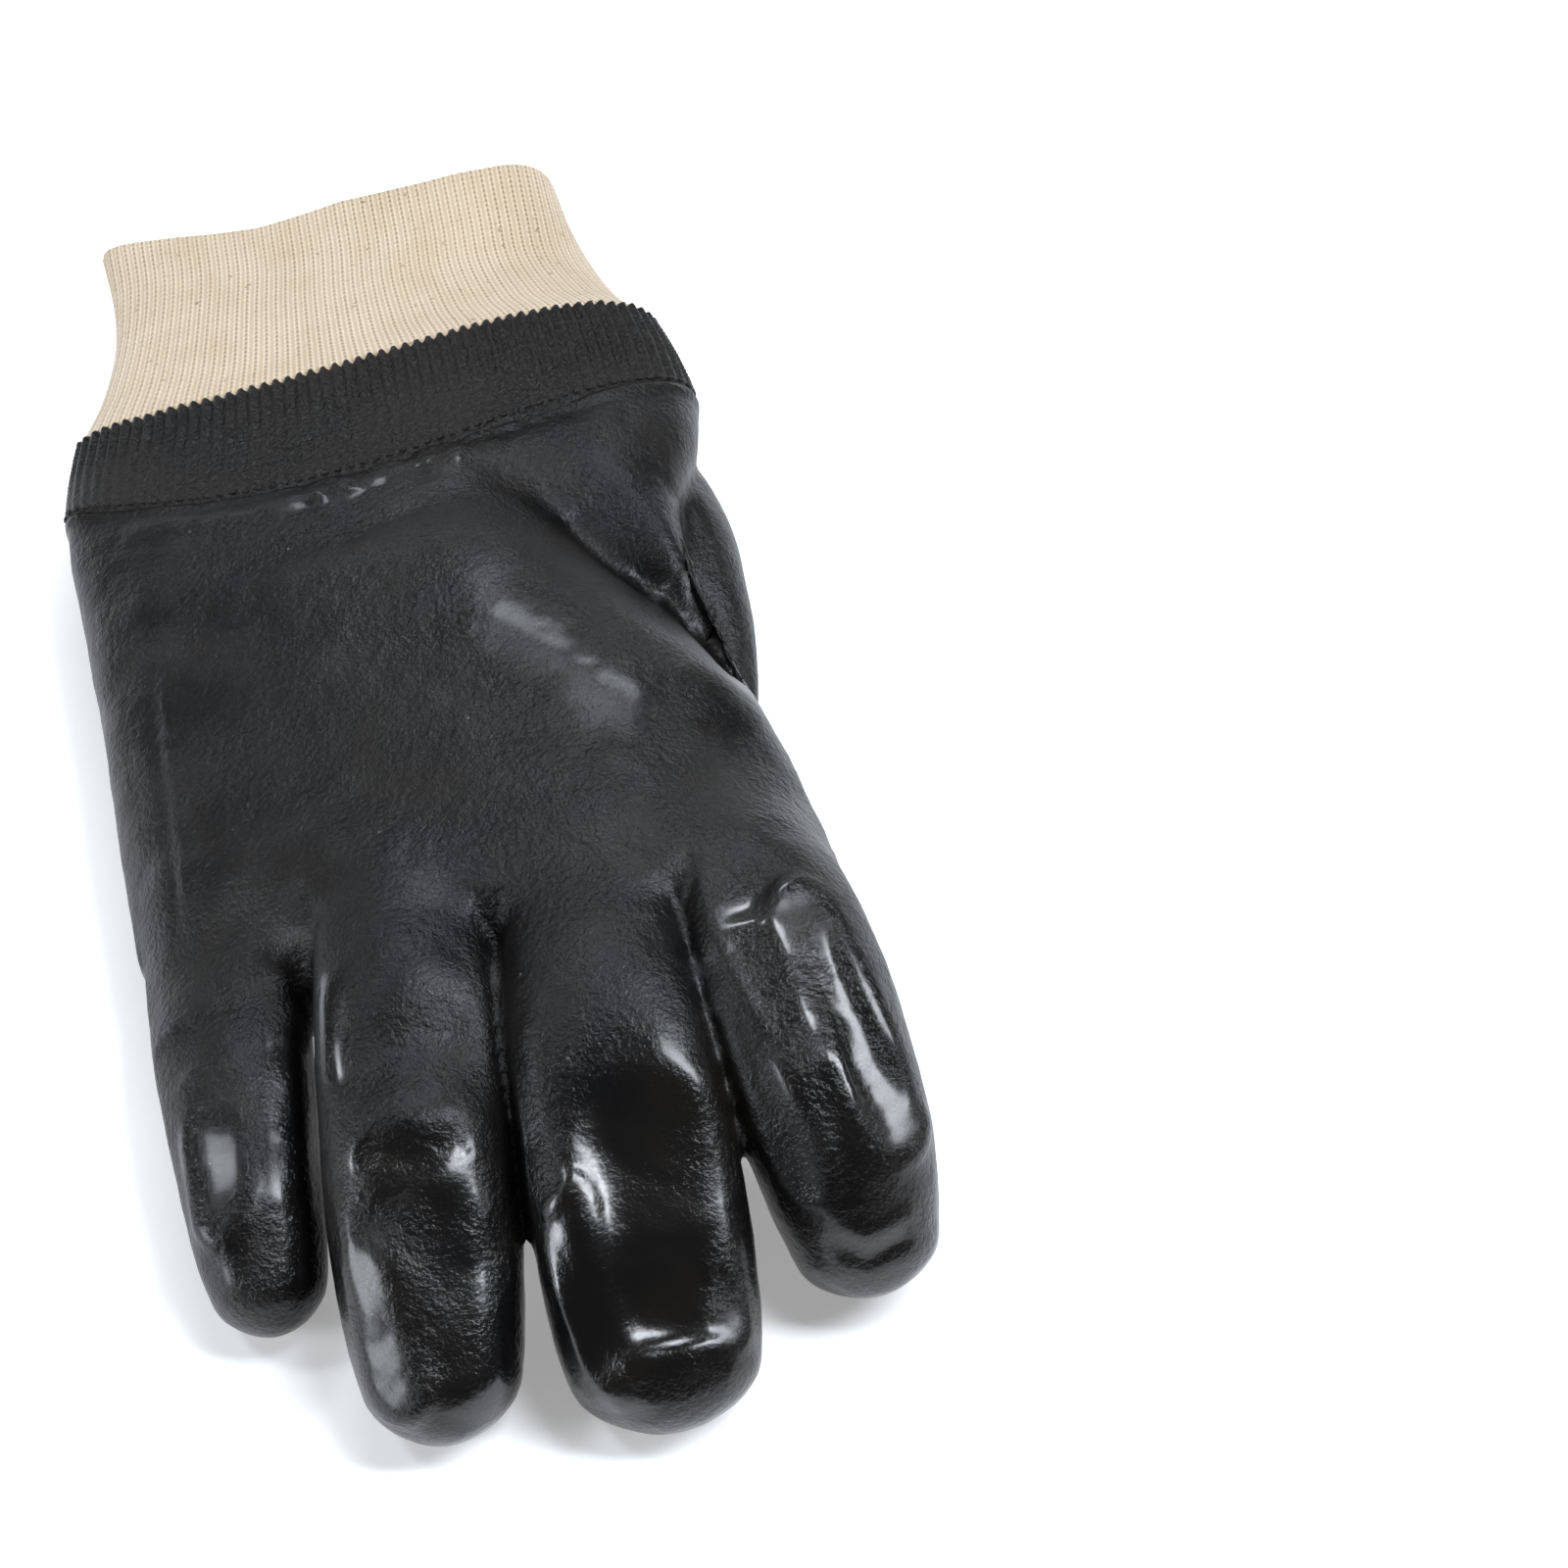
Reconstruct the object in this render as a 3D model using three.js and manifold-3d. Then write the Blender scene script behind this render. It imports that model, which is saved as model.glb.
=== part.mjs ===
// Knit-wrist work glove, right hand, lying palm down with its thumb tucked under the palm.
// Three pieces meet end to end: the coated hand, the ribbed band that took up coating,
// and the plain knitted wrist. Millimetres, +Z up, fingers toward -Y, thumb side toward +X.
import * as THREE from 'three';
import { mergeVertices } from 'three/addons/utils/BufferGeometryUtils.js';
import ManifoldModule from 'manifold-3d';

const wasm = await ManifoldModule();
wasm.setup();
const { Manifold, Mesh: SolidMesh } = wasm;

// Driving sizes.
const HAND_LENGTH = 194; // wrist seam to the tip of the middle finger
const PALM_WIDTH = 117; // across the knuckles
const PALM_DEPTH = 40; // height that the palm's sections are drawn to
const FINGER_WIDTH = 30; // breadth of an ordinary finger
const COAT_WALL = 2.0; // coating and liner together
const BAND_LENGTH = 18; // ribbed band that is coated
const CUFF_LENGTH = 44; // plain knitted wrist
const KNIT_WALL = 2.6; // doubled rib knit
const RIB_PITCH = 2.8; // one rib round the wrist
const RIB_DEPTH = 0.9; // ridge to groove
const TOOTH = 1.2; // how far the coating climbs the ribs
const BEAD = 0.7; // raised edge of the coated hand at its seam
const JOINT_GAP = 0.4; // clearance between two pieces
const FINGER_GAP = 0.6; // clearance between two fingers that lie side by side
const FINEST = 0.01; // nothing smaller than this is kept where skins are cut

// Cross sections of the palm and the wrist, from the knitted mouth to the finger roots.
// palm, band, cuff: how far up the glove, as shares of the hand's, band's and cuff's lengths.
// left, right: the two edges, as shares of the palm width.
// slant: how much the section climbs from left to right. sag: how far its back dips forward.
// Heights are shares of the palm depth: edge, back of the hand and underside, left and right,
// with crown the extra swell of the back midway.
const SECTIONS = [
  { palm: 0.455, band: 1, cuff: 1.0, left: -0.462, right: 0.248, slant: -0.01, sag: 0.10,
    edgeL: 0.30, edgeR: 0.40, backL: 0.50, backR: 0.94, crown: -0.12, underL: -0.02, underR: 0 },
  { palm: 0.455, band: 1, cuff: 0.75, left: -0.450, right: 0.266, slant: 0.02, sag: 0.10,
    edgeL: 0.31, edgeR: 0.38, backL: 0.54, backR: 0.82, crown: -0.06, underL: -0.02, underR: 0 },
  { palm: 0.455, band: 1, cuff: 0.5, left: -0.452, right: 0.290, slant: 0.05, sag: 0.10,
    edgeL: 0.33, edgeR: 0.40, backL: 0.58, backR: 0.74, crown: 0, underL: -0.02, underR: 0 },
  { palm: 0.455, band: 1, cuff: 0.22, left: -0.480, right: 0.324, slant: 0.08, sag: 0.10,
    edgeL: 0.36, edgeR: 0.44, backL: 0.62, backR: 0.82, crown: 0, underL: -0.02, underR: 0 },
  { palm: 0.455, band: 1, cuff: 0, left: -0.518, right: 0.366, slant: 0.10, sag: 0.11,
    edgeL: 0.38, edgeR: 0.48, backL: 0.65, backR: 0.92, crown: 0, underL: -0.02, underR: 0 },
  { palm: 0.455, band: 0, cuff: 0, left: -0.540, right: 0.402, slant: 0.075, sag: 0.28,
    edgeL: 0.42, edgeR: 0.54, backL: 0.70, backR: 0.94, crown: 0, underL: -0.02, underR: 0 },
  { palm: 0.400, band: 0, cuff: 0, left: -0.540, right: 0.394, slant: 0.06, sag: 0.14,
    edgeL: 0.42, edgeR: 0.58, backL: 0.74, backR: 1.00, crown: 0.02, underL: -0.02, underR: 0.02 },
  { palm: 0.310, band: 0, cuff: 0, left: -0.524, right: 0.350, slant: 0.03, sag: 0.02,
    edgeL: 0.42, edgeR: 0.66, backL: 0.78, backR: 1.06, crown: 0.04, underL: -0.03, underR: 0.08 },
  { palm: 0.210, band: 0, cuff: 0, left: -0.512, right: 0.360, slant: 0, sag: 0,
    edgeL: 0.42, edgeR: 0.72, backL: 0.80, backR: 1.12, crown: 0.06, underL: -0.04, underR: 0.34 },
  { palm: 0.120, band: 0, cuff: 0, left: -0.504, right: 0.396, slant: -0.05, sag: 0,
    edgeL: 0.42, edgeR: 0.76, backL: 0.80, backR: 1.14, crown: 0.09, underL: -0.04, underR: 0.58 },
  { palm: 0.020, band: 0, cuff: 0, left: -0.496, right: 0.446, slant: -0.10, sag: 0,
    edgeL: 0.42, edgeR: 0.82, backL: 0.80, backR: 1.16, crown: 0.13, underL: -0.04, underR: 0.59 },
  { palm: -0.070, band: 0, cuff: 0, left: -0.488, right: 0.484, slant: -0.16, sag: 0,
    edgeL: 0.42, edgeR: 0.86, backL: 0.80, backR: 1.18, crown: 0.18, underL: -0.02, underR: 0.60 },
  { palm: -0.185, band: 0, cuff: 0, left: -0.475, right: 0.505, slant: -0.20, sag: 0,
    edgeL: 0.42, edgeR: 0.86, backL: 0.80, backR: 1.18, crown: 0.18, underL: 0.04, underR: 0.60 },
];
const PALM_END = 0.172; // where the palm closes between the fingers, share of hand length
const PALM_ROUND = 0.075; // length of that rounding, share of hand length

// Digits, each row a section from the root inside the palm to the tip.
// aside: place across the palm in palm widths. reach: toward the fingertips in hand lengths.
// under: height of the underside in palm depths. wide, deep: in finger widths.
const DIGITS = {
  little: [
    { aside: -0.372, reach: 0.030, under: 0.10, wide: 0.82, deep: 0.78 },
    { aside: -0.366, reach: 0.115, under: 0.14, wide: 0.85, deep: 0.84 },
    { aside: -0.362, reach: 0.200, under: 0.16, wide: 0.82, deep: 0.82 },
    { aside: -0.358, reach: 0.280, under: 0.10, wide: 0.75, deep: 0.74 },
    { aside: -0.350, reach: 0.345, under: 0.02, wide: 0.66, deep: 0.62 },
    { aside: -0.338, reach: 0.399, under: -0.03, wide: 0.48, deep: 0.50 },
  ],
  ring: [
    { aside: -0.120, reach: 0.050, under: 0.40, wide: 0.92, deep: 0.80 },
    { aside: -0.124, reach: 0.160, under: 0.51, wide: 0.97, deep: 0.86 },
    { aside: -0.130, reach: 0.270, under: 0.42, wide: 1.00, deep: 0.88 },
    { aside: -0.134, reach: 0.375, under: 0.20, wide: 0.98, deep: 0.84 },
    { aside: -0.136, reach: 0.455, under: 0.02, wide: 0.88, deep: 0.76 },
    { aside: -0.136, reach: 0.521, under: -0.03, wide: 0.66, deep: 0.58 },
  ],
  middle: [
    { aside: 0.130, reach: 0.070, under: 0.54, wide: 0.94, deep: 0.76 },
    { aside: 0.131, reach: 0.190, under: 0.58, wide: 1.00, deep: 0.89 },
    { aside: 0.138, reach: 0.305, under: 0.50, wide: 1.08, deep: 0.92 },
    { aside: 0.148, reach: 0.405, under: 0.26, wide: 1.11, deep: 0.84 },
    { aside: 0.156, reach: 0.477, under: 0.02, wide: 1.04, deep: 0.76 },
    { aside: 0.160, reach: 0.535, under: -0.03, wide: 0.80, deep: 0.58 },
  ],
  index: [
    { aside: 0.348, reach: 0.070, under: 0.58, wide: 0.82, deep: 0.78 },
    { aside: 0.368, reach: 0.175, under: 0.68, wide: 0.94, deep: 0.86 },
    { aside: 0.388, reach: 0.265, under: 0.58, wide: 1.06, deep: 0.88 },
    { aside: 0.412, reach: 0.340, under: 0.32, wide: 1.04, deep: 0.84 },
    { aside: 0.434, reach: 0.390, under: 0.06, wide: 0.88, deep: 0.74 },
    { aside: 0.452, reach: 0.433, under: -0.03, wide: 0.62, deep: 0.56 },
  ],
  thumb: [
    { aside: 0.280, reach: -0.425, under: 0.02, wide: 0.92, deep: 0.74 },
    { aside: 0.298, reach: -0.330, under: 0.02, wide: 1.06, deep: 0.86 },
    { aside: 0.300, reach: -0.220, under: -0.02, wide: 1.06, deep: 0.82 },
    { aside: 0.264, reach: -0.115, under: -0.05, wide: 1.06, deep: 0.76 },
    { aside: 0.205, reach: -0.010, under: -0.05, wide: 1.06, deep: 0.72 },
    { aside: 0.130, reach: 0.090, under: -0.04, wide: 1.00, deep: 0.70 },
    { aside: 0.055, reach: 0.185, under: -0.03, wide: 0.88, deep: 0.62 },
  ],
};

// Slits between neighbouring fingers, each a straight upright cut from one place to another.
// left, right: the digits at its two sides. across: palm widths. reach: hand lengths.
const SLITS = [
  { left: 'little', right: 'ring', across: -0.257, reach: 0.10, toAcross: -0.257, toReach: 0.40 },
  { left: 'ring', right: 'middle', across: 0.001, reach: 0.10, toAcross: 0.004, toReach: 0.50 },
  { left: 'middle', right: 'index', across: 0.246, reach: 0.10, toAcross: 0.296, toReach: 0.42 },
];

// Hollows and swells of the upper surface, drawn as soft strokes from one point to another.
// Places: across in palm widths, reach in hand lengths. broad: finger widths.
// lift: palm depths, below zero for a hollow.
const STROKES = [
  { across: 0.17, reach: -0.315, toAcross: 0.30, toReach: -0.205, broad: 0.38, lift: -0.13 },
  { across: 0.31, reach: -0.205, toAcross: 0.38, toReach: -0.125, broad: 0.30, lift: -0.08 },
  { across: 0.06, reach: -0.235, toAcross: 0.28, toReach: -0.080, broad: 0.45, lift: 0.06 },
  { across: -0.24, reach: -0.02, toAcross: -0.05, toReach: 0.02, broad: 0.60, lift: -0.05 },
  { across: 0.02, reach: 0.02, toAcross: 0.20, toReach: 0.08, broad: 0.45, lift: 0.05 },
  { across: -0.39, reach: 0.095, toAcross: -0.36, toReach: 0.125, broad: 0.40, lift: -0.07 },
  { across: -0.17, reach: 0.265, toAcross: -0.09, toReach: 0.260, broad: 0.26, lift: -0.08 },
  { across: 0.11, reach: 0.335, toAcross: 0.17, toReach: 0.380, broad: 0.42, lift: -0.14 },
  { across: 0.09, reach: 0.485, toAcross: 0.21, toReach: 0.470, broad: 0.22, lift: -0.06 },
  { across: 0.335, reach: 0.190, toAcross: 0.365, toReach: 0.290, broad: 0.26, lift: -0.07 },
  { across: -0.45, reach: -0.43, toAcross: 0.20, toReach: -0.43, broad: 0.16, lift: -0.03 },
];

// Value of every column at a place between the rows, passing smoothly through each row.
function blend(rows, keys, place) {
  const last = keys.length - 1;
  let i = 0;
  while (i < last - 1 && place > keys[i + 1]) i += 1;
  const span = keys[i + 1] - keys[i];
  const t = (place - keys[i]) / span;
  const result = {};
  for (const name of Object.keys(rows[i])) {
    const a = rows[i][name];
    const b = rows[i + 1][name];
    const before = i > 0 ? (b - rows[i - 1][name]) / (keys[i + 1] - keys[i - 1]) : (b - a) / span;
    const after = i < last - 1 ? (rows[i + 2][name] - a) / (keys[i + 2] - keys[i]) : (b - a) / span;
    const t2 = t * t;
    const t3 = t2 * t;
    result[name] = (2 * t3 - 3 * t2 + 1) * a + (t3 - 2 * t2 + t) * span * before
      + (3 * t2 - 2 * t3) * b + (t3 - t2) * span * after;
  }
  return result;
}

function ease(low, high, value) {
  const t = Math.min(1, Math.max(0, (value - low) / (high - low)));
  return t * t * (3 - 2 * t);
}

// How much the drawn strokes lift the upper surface at one point.
function strokeLift(x, y) {
  let lift = 0;
  for (const stroke of STROKES) {
    const ax = stroke.across * PALM_WIDTH;
    const ay = -stroke.reach * HAND_LENGTH;
    const dx = stroke.toAcross * PALM_WIDTH - ax;
    const dy = -stroke.toReach * HAND_LENGTH - ay;
    const along = ((x - ax) * dx + (y - ay) * dy) / (dx * dx + dy * dy);
    const share = Math.min(1, Math.max(0, along));
    const away = Math.hypot(x - ax - share * dx, y - ay - share * dy);
    const spread = away / (stroke.broad * FINGER_WIDTH);
    lift += stroke.lift * PALM_DEPTH * Math.exp(-spread * spread);
  }
  return lift;
}

// Distance of a section up the glove; the table runs from the mouth down to the fingers.
function sectionHeight(row) {
  return row.palm * HAND_LENGTH + row.band * BAND_LENGTH + row.cuff * CUFF_LENGTH;
}
const SECTION_KEYS = SECTIONS.map((row) => -sectionHeight(row));

// One point of the palm or wrist: y picks the section, angle goes round it from the thumb side.
function bodyPoint(y, angle, inset, squeeze = 1) {
  const row = blend(SECTIONS, SECTION_KEYS, -y);
  const left = row.left * PALM_WIDTH + inset;
  const right = row.right * PALM_WIDTH - inset;
  const bend = 2.5;
  const cos = Math.cos(angle);
  const sin = Math.sin(angle);
  const across = Math.sign(cos) * Math.pow(Math.abs(cos), 2 / bend);
  const swell = Math.pow(Math.abs(sin), 2 / bend) * squeeze;
  const narrow = 0.86 + 0.14 * squeeze;
  const x = (left + right) / 2 + across * narrow * (right - left) / 2;
  const side = (across + 1) / 2;
  const edge = (row.edgeL + (row.edgeR - row.edgeL) * side) * PALM_DEPTH;
  const crown = row.crown * (1 - across * across);
  const back = (row.backL + (row.backR - row.backL) * side + crown) * PALM_DEPTH - inset;
  const step = ease(-0.6, -0.05, across);
  const under = (row.underL + (row.underR - row.underL) * step) * PALM_DEPTH + inset;
  const upward = sin > 0;
  let z = upward ? edge + (back - edge) * swell : edge - (edge - under) * swell;
  const dip = upward ? row.sag * PALM_DEPTH * (1 - across * across) * (1 - 0.6 * across) : 0;
  if (upward) z += strokeLift(x, y) * ease(0, 0.7, sin);
  return new THREE.Vector3(x, y + row.slant * x - dip, z);
}

// Points spread evenly round a closed curve.
function evenRing(curve, count) {
  const fine = 240;
  const dots = [];
  const gone = [0];
  for (let i = 0; i <= fine; i += 1) {
    dots.push(curve((i / fine) * Math.PI * 2));
    if (i > 0) gone.push(gone[i - 1] + dots[i].distanceTo(dots[i - 1]));
  }
  const ring = [];
  let at = 0;
  for (let k = 0; k < count; k += 1) {
    const want = (k / count) * gone[fine];
    while (gone[at + 1] < want) at += 1;
    const t = (want - gone[at]) / (gone[at + 1] - gone[at]);
    ring.push(dots[at].clone().lerp(dots[at + 1], t));
  }
  return ring;
}

// A closed skin over a run of rings; with round set, the last ring joins the first.
function skin(rings, round = false) {
  const count = rings[0].length;
  const spots = [];
  for (const ring of rings) for (const p of ring) spots.push(p.x, p.y, p.z);
  const faces = [];
  const bands = round ? rings.length : rings.length - 1;
  for (let r = 0; r < bands; r += 1) {
    const s = (r + 1) % rings.length;
    for (let i = 0; i < count; i += 1) {
      const j = (i + 1) % count;
      const a = r * count + i;
      const b = r * count + j;
      const c = s * count + j;
      const d = s * count + i;
      faces.push(a, b, c, a, c, d);
    }
  }
  if (!round) {
    for (const [ring, start, flip] of [[rings[0], 0, true], [rings[rings.length - 1], (rings.length - 1) * count, false]]) {
      const middle = new THREE.Vector3();
      for (const p of ring) middle.add(p);
      middle.divideScalar(count);
      const hub = spots.length / 3;
      spots.push(middle.x, middle.y, middle.z);
      for (let i = 0; i < count; i += 1) {
        const j = (i + 1) % count;
        if (flip) faces.push(hub, start + j, start + i);
        else faces.push(hub, start + i, start + j);
      }
    }
  }
  const geometry = new THREE.BufferGeometry();
  geometry.setAttribute('position', new THREE.Float32BufferAttribute(spots, 3));
  geometry.setIndex(faces);
  return geometry;
}

function toSolid(geometry) {
  const bare = new THREE.BufferGeometry();
  bare.setAttribute('position', geometry.getAttribute('position').clone());
  if (geometry.index) bare.setIndex(geometry.index.clone());
  const joined = mergeVertices(bare, 1e-4);
  return new Manifold(new SolidMesh({
    numProp: 3,
    vertProperties: new Float32Array(joined.attributes.position.array),
    triVerts: new Uint32Array(joined.index.array),
    tolerance: FINEST,
  }));
}

function toGeometry(solid) {
  const mesh = solid.getMesh();
  const geometry = new THREE.BufferGeometry();
  geometry.setAttribute('position', new THREE.Float32BufferAttribute(mesh.vertProperties, 3));
  geometry.setIndex(new THREE.Uint32BufferAttribute(mesh.triVerts, 1));
  return geometry;
}

// The palm: sections from the seam to a rounded end between the finger roots.
function palmSolid(inset, top, count, steps) {
  const end = -PALM_END * HAND_LENGTH + inset;
  const turn = PALM_ROUND * HAND_LENGTH;
  const rings = [];
  const addRing = (y, depth) => rings.push(evenRing((angle) => bodyPoint(y, angle, depth), count));
  addRing(top, inset + 2 * COAT_WALL);
  addRing(top, inset);
  addRing(top - BEAD * 1.6, inset - BEAD);
  addRing(top - BEAD * 4, inset);
  for (let i = 1; i <= steps; i += 1) addRing(top + (end + turn - top) * (i / steps), inset);
  for (const share of [0.45, 0.75, 0.93]) {
    const y = end + turn * (1 - share);
    const squeeze = Math.sqrt(1 - share * share);
    rings.push(evenRing((angle) => bodyPoint(y, angle, inset, squeeze), count));
  }
  return toSolid(skin(rings));
}

// A finger or the thumb, with a rounded tip.
function digitSolid(rows, inset, count, steps) {
  const keys = rows.map((row, i) => i / (rows.length - 1));
  const centre = (u) => {
    const row = blend(rows, keys, u);
    const deep = row.deep * FINGER_WIDTH;
    const z = row.under * PALM_DEPTH + deep / 2;
    return new THREE.Vector3(row.aside * PALM_WIDTH, -row.reach * HAND_LENGTH, z);
  };
  let length = 0;
  for (let i = 0; i < 40; i += 1) length += centre(i / 40).distanceTo(centre((i + 1) / 40));
  const cap = (rows[rows.length - 1].wide * FINGER_WIDTH * 0.62) / length;
  const start = 2 * inset / length;
  const end = 1 - inset / length;
  const stops = [];
  for (let i = 0; i <= steps; i += 1) stops.push([start + (end - cap - start) * (i / steps), 1]);
  for (const turn of [25, 48, 68, 84]) {
    const bow = THREE.MathUtils.degToRad(turn);
    stops.push([end - cap + cap * Math.sin(bow), Math.cos(bow)]);
  }
  const rings = stops.map(([u, shrink]) => {
    const row = blend(rows, keys, u);
    const middle = centre(u);
    const ahead = centre(Math.min(1, u + 0.02)).sub(centre(Math.max(0, u - 0.02))).normalize();
    const aside = new THREE.Vector3(0, 0, 1).cross(ahead).normalize();
    const up = new THREE.Vector3().crossVectors(ahead, aside);
    const half = (row.wide * FINGER_WIDTH / 2 - inset) * shrink;
    const tall = (row.deep * FINGER_WIDTH / 2 - inset) * shrink;
    return evenRing((angle) => {
      const cos = Math.cos(angle);
      const sin = Math.sin(angle);
      const dx = Math.sign(cos) * Math.pow(Math.abs(cos), 2 / 2.25) * half;
      const dz = Math.sign(sin) * Math.pow(Math.abs(sin), 2 / 2.25) * tall;
      const p = middle.clone().addScaledVector(aside, dx).addScaledVector(up, dz);
      if (sin > 0) p.z += strokeLift(p.x, p.y) * ease(0, 0.7, sin);
      return p;
    }, count);
  });
  return toSolid(skin(rings));
}

// A digit cut back from the slits beside it, by half the finger gap and its own inset.
function besideSlits(name, digit, inset) {
  let cut = digit;
  for (const slit of SLITS) {
    if (slit.left !== name && slit.right !== name) continue;
    const side = slit.right === name ? 1 : -1;
    const dx = (slit.toAcross - slit.across) * PALM_WIDTH;
    const dy = (slit.toReach - slit.reach) * HAND_LENGTH;
    const length = Math.hypot(dx, dy);
    const normal = [side * dy / length, side * dx / length, 0];
    const place = normal[0] * slit.across * PALM_WIDTH - normal[1] * slit.reach * HAND_LENGTH;
    cut = cut.trimByPlane(normal, place + FINGER_GAP / 2 + inset);
  }
  return cut;
}

// The hollow hand: outer skins joined, inner skins taken away, rested flat on the floor.
const SEAM = SECTIONS[5].palm * HAND_LENGTH;
function handShape(inset, top, count, palmSteps, digitCount, digitSteps) {
  let shape = palmSolid(inset, top, count, palmSteps);
  for (const [name, rows] of Object.entries(DIGITS)) {
    const digit = digitSolid(rows, inset, digitCount, digitSteps);
    shape = shape.add(besideSlits(name, digit, inset));
  }
  return shape.trimByPlane([0, 0, 1], inset);
}

// The largest of a solid's bodies, without slivers left where two skins graze.
function largest(solid) {
  return solid.decompose().sort((a, b) => b.volume() - a.volume())[0];
}
const outerHand = handShape(0, SEAM - JOINT_GAP, 38, 12, 16, 9);
const innerHand = handShape(COAT_WALL, SEAM + 3, 26, 12, 12, 7);
const handSolid = largest(outerHand.subtract(innerHand));

// Rib count follows the girth of the band; it stays even so that ridge and groove alternate.
const girth = evenRing((angle) => bodyPoint(SEAM + BAND_LENGTH, angle, 0), 120)
  .reduce((sum, p, i, ring) => sum + p.distanceTo(ring[(i + 1) % ring.length]), 0);
const RIBS = Math.round(girth / RIB_PITCH);

// A ribbed tube between two heights; tooth sets how far each end follows the ribs.
function ribbedSleeve(low, high, lowTooth, highTooth, steps, innerSteps) {
  const count = RIBS * 2;
  const makeRing = (share, inset, depth) => {
    const y = low + (high - low) * share;
    const smooth = evenRing((angle) => bodyPoint(y, angle, inset), count);
    return smooth.map((p, i) => {
      const before = smooth[(i + count - 1) % count];
      const after = smooth[(i + 1) % count];
      const out = new THREE.Vector3(after.z - before.z, 0, before.x - after.x).normalize();
      const ridge = i % 2 === 0 ? 0.5 : -0.5;
      const q = p.clone().addScaledVector(out, ridge * depth);
      q.y += ridge * (lowTooth * Math.max(0, 1 - share * 3) + highTooth * Math.max(0, share * 3 - 2));
      q.z = Math.max(q.z, inset);
      return q;
    });
  };
  const rings = [];
  for (let i = steps; i >= 0; i -= 1) rings.push(makeRing(i / steps, 0, -RIB_DEPTH));
  for (let i = 0; i <= innerSteps; i += 1) rings.push(makeRing(i / innerSteps, KNIT_WALL, 0));
  return skin(rings, true);
}

const bandTop = SEAM + BAND_LENGTH;
const band = ribbedSleeve(SEAM, bandTop - JOINT_GAP, 0, TOOTH, 2, 1);
const cuff = ribbedSleeve(bandTop, bandTop + CUFF_LENGTH, TOOTH, 0, 4, 2);

// Materials and the finished group, moved so that the origin is under the glove's middle.
const coating = new THREE.MeshStandardMaterial({ color: 0x15171a, roughness: 0.28, metalness: 0 });
const coatedKnit = new THREE.MeshStandardMaterial({ color: 0x1a1a1b, roughness: 0.75, metalness: 0 });
const cotton = new THREE.MeshStandardMaterial({ color: 0xd9c4a0, roughness: 0.95, metalness: 0 });

const group = new THREE.Group();
const pieces = [
  ['coated_hand', toGeometry(handSolid), coating],
  ['dipped_band', band, coatedKnit],
  ['knit_wrist', cuff, cotton],
];
const box = new THREE.Box3();
for (const [, geometry] of pieces) {
  geometry.computeBoundingBox();
  box.union(geometry.boundingBox);
}
const middle = box.getCenter(new THREE.Vector3());
for (const [name, geometry, material] of pieces) {
  geometry.translate(-middle.x, -middle.y, -box.min.z);
  geometry.computeVertexNormals();
  const mesh = new THREE.Mesh(geometry, material);
  mesh.name = name;
  group.add(mesh);
}

export default group;
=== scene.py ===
import math
import bmesh
import bpy
import numpy as np
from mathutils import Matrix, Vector
from mathutils.bvhtree import BVHTree
from mathutils.kdtree import KDTree


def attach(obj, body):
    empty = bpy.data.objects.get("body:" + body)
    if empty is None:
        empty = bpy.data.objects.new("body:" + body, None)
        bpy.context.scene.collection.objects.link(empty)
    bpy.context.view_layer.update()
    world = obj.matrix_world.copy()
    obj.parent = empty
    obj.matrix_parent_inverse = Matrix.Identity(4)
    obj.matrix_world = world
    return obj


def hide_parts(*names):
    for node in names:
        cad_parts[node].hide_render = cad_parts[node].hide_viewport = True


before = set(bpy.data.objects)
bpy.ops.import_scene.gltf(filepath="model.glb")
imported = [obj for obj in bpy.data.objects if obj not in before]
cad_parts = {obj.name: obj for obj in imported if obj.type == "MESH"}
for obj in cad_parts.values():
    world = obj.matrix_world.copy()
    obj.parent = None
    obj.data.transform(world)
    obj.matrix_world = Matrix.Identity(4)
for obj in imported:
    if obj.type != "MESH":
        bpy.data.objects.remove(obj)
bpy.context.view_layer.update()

# The view. The glove lies palm down with its fingertips toward the camera, which looks down
# on it from in front through a long lens, so that the glove fills the left half of the frame.
MM = 0.001
DRAWING_MIDDLE = np.array([-0.06, 23.21, 0.0])  # the row's origin, in the drawing's millimetres
VIEW_TARGET = np.array([51.0, 8.0, 20.0])
VIEW_RISE, VIEW_TURN, VIEW_DISTANCE = math.radians(52), math.radians(-8), 800.0
LENS_PIXELS, FRAME_PIXELS = 4960.0, 1600.0


def to_row(points):
    """Drawing millimetres to the row's metres."""
    return (np.asarray(points, float) - DRAWING_MIDDLE) * MM


view_back = np.array([
    math.sin(VIEW_TURN) * math.cos(VIEW_RISE),
    -math.cos(VIEW_TURN) * math.cos(VIEW_RISE),
    math.sin(VIEW_RISE),
])
view_eye = VIEW_TARGET + VIEW_DISTANCE * view_back
view_right = np.cross(-view_back, [0, 0, 1])
view_right /= np.linalg.norm(view_right)
view_up = np.cross(view_right, -view_back)


def sight_line(px, py):
    """Direction, in the drawing, of the line of sight through a pixel of the 1600 px frame."""
    half = FRAME_PIXELS / 2
    line = -view_back * LENS_PIXELS + view_right * (px - half) + view_up * (half - py)
    return line / np.linalg.norm(line)


def toward(azimuth, rise):
    """A direction in degrees: azimuth 0 is away from the camera, 90 to the thumb side."""
    a, e = math.radians(azimuth), math.radians(rise)
    return (math.sin(a) * math.cos(e), math.cos(a) * math.cos(e), math.sin(e))


def placed(name, data):
    """A new object in the scene."""
    made = bpy.data.objects.new(name, data)
    bpy.context.collection.objects.link(made)
    return made


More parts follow.
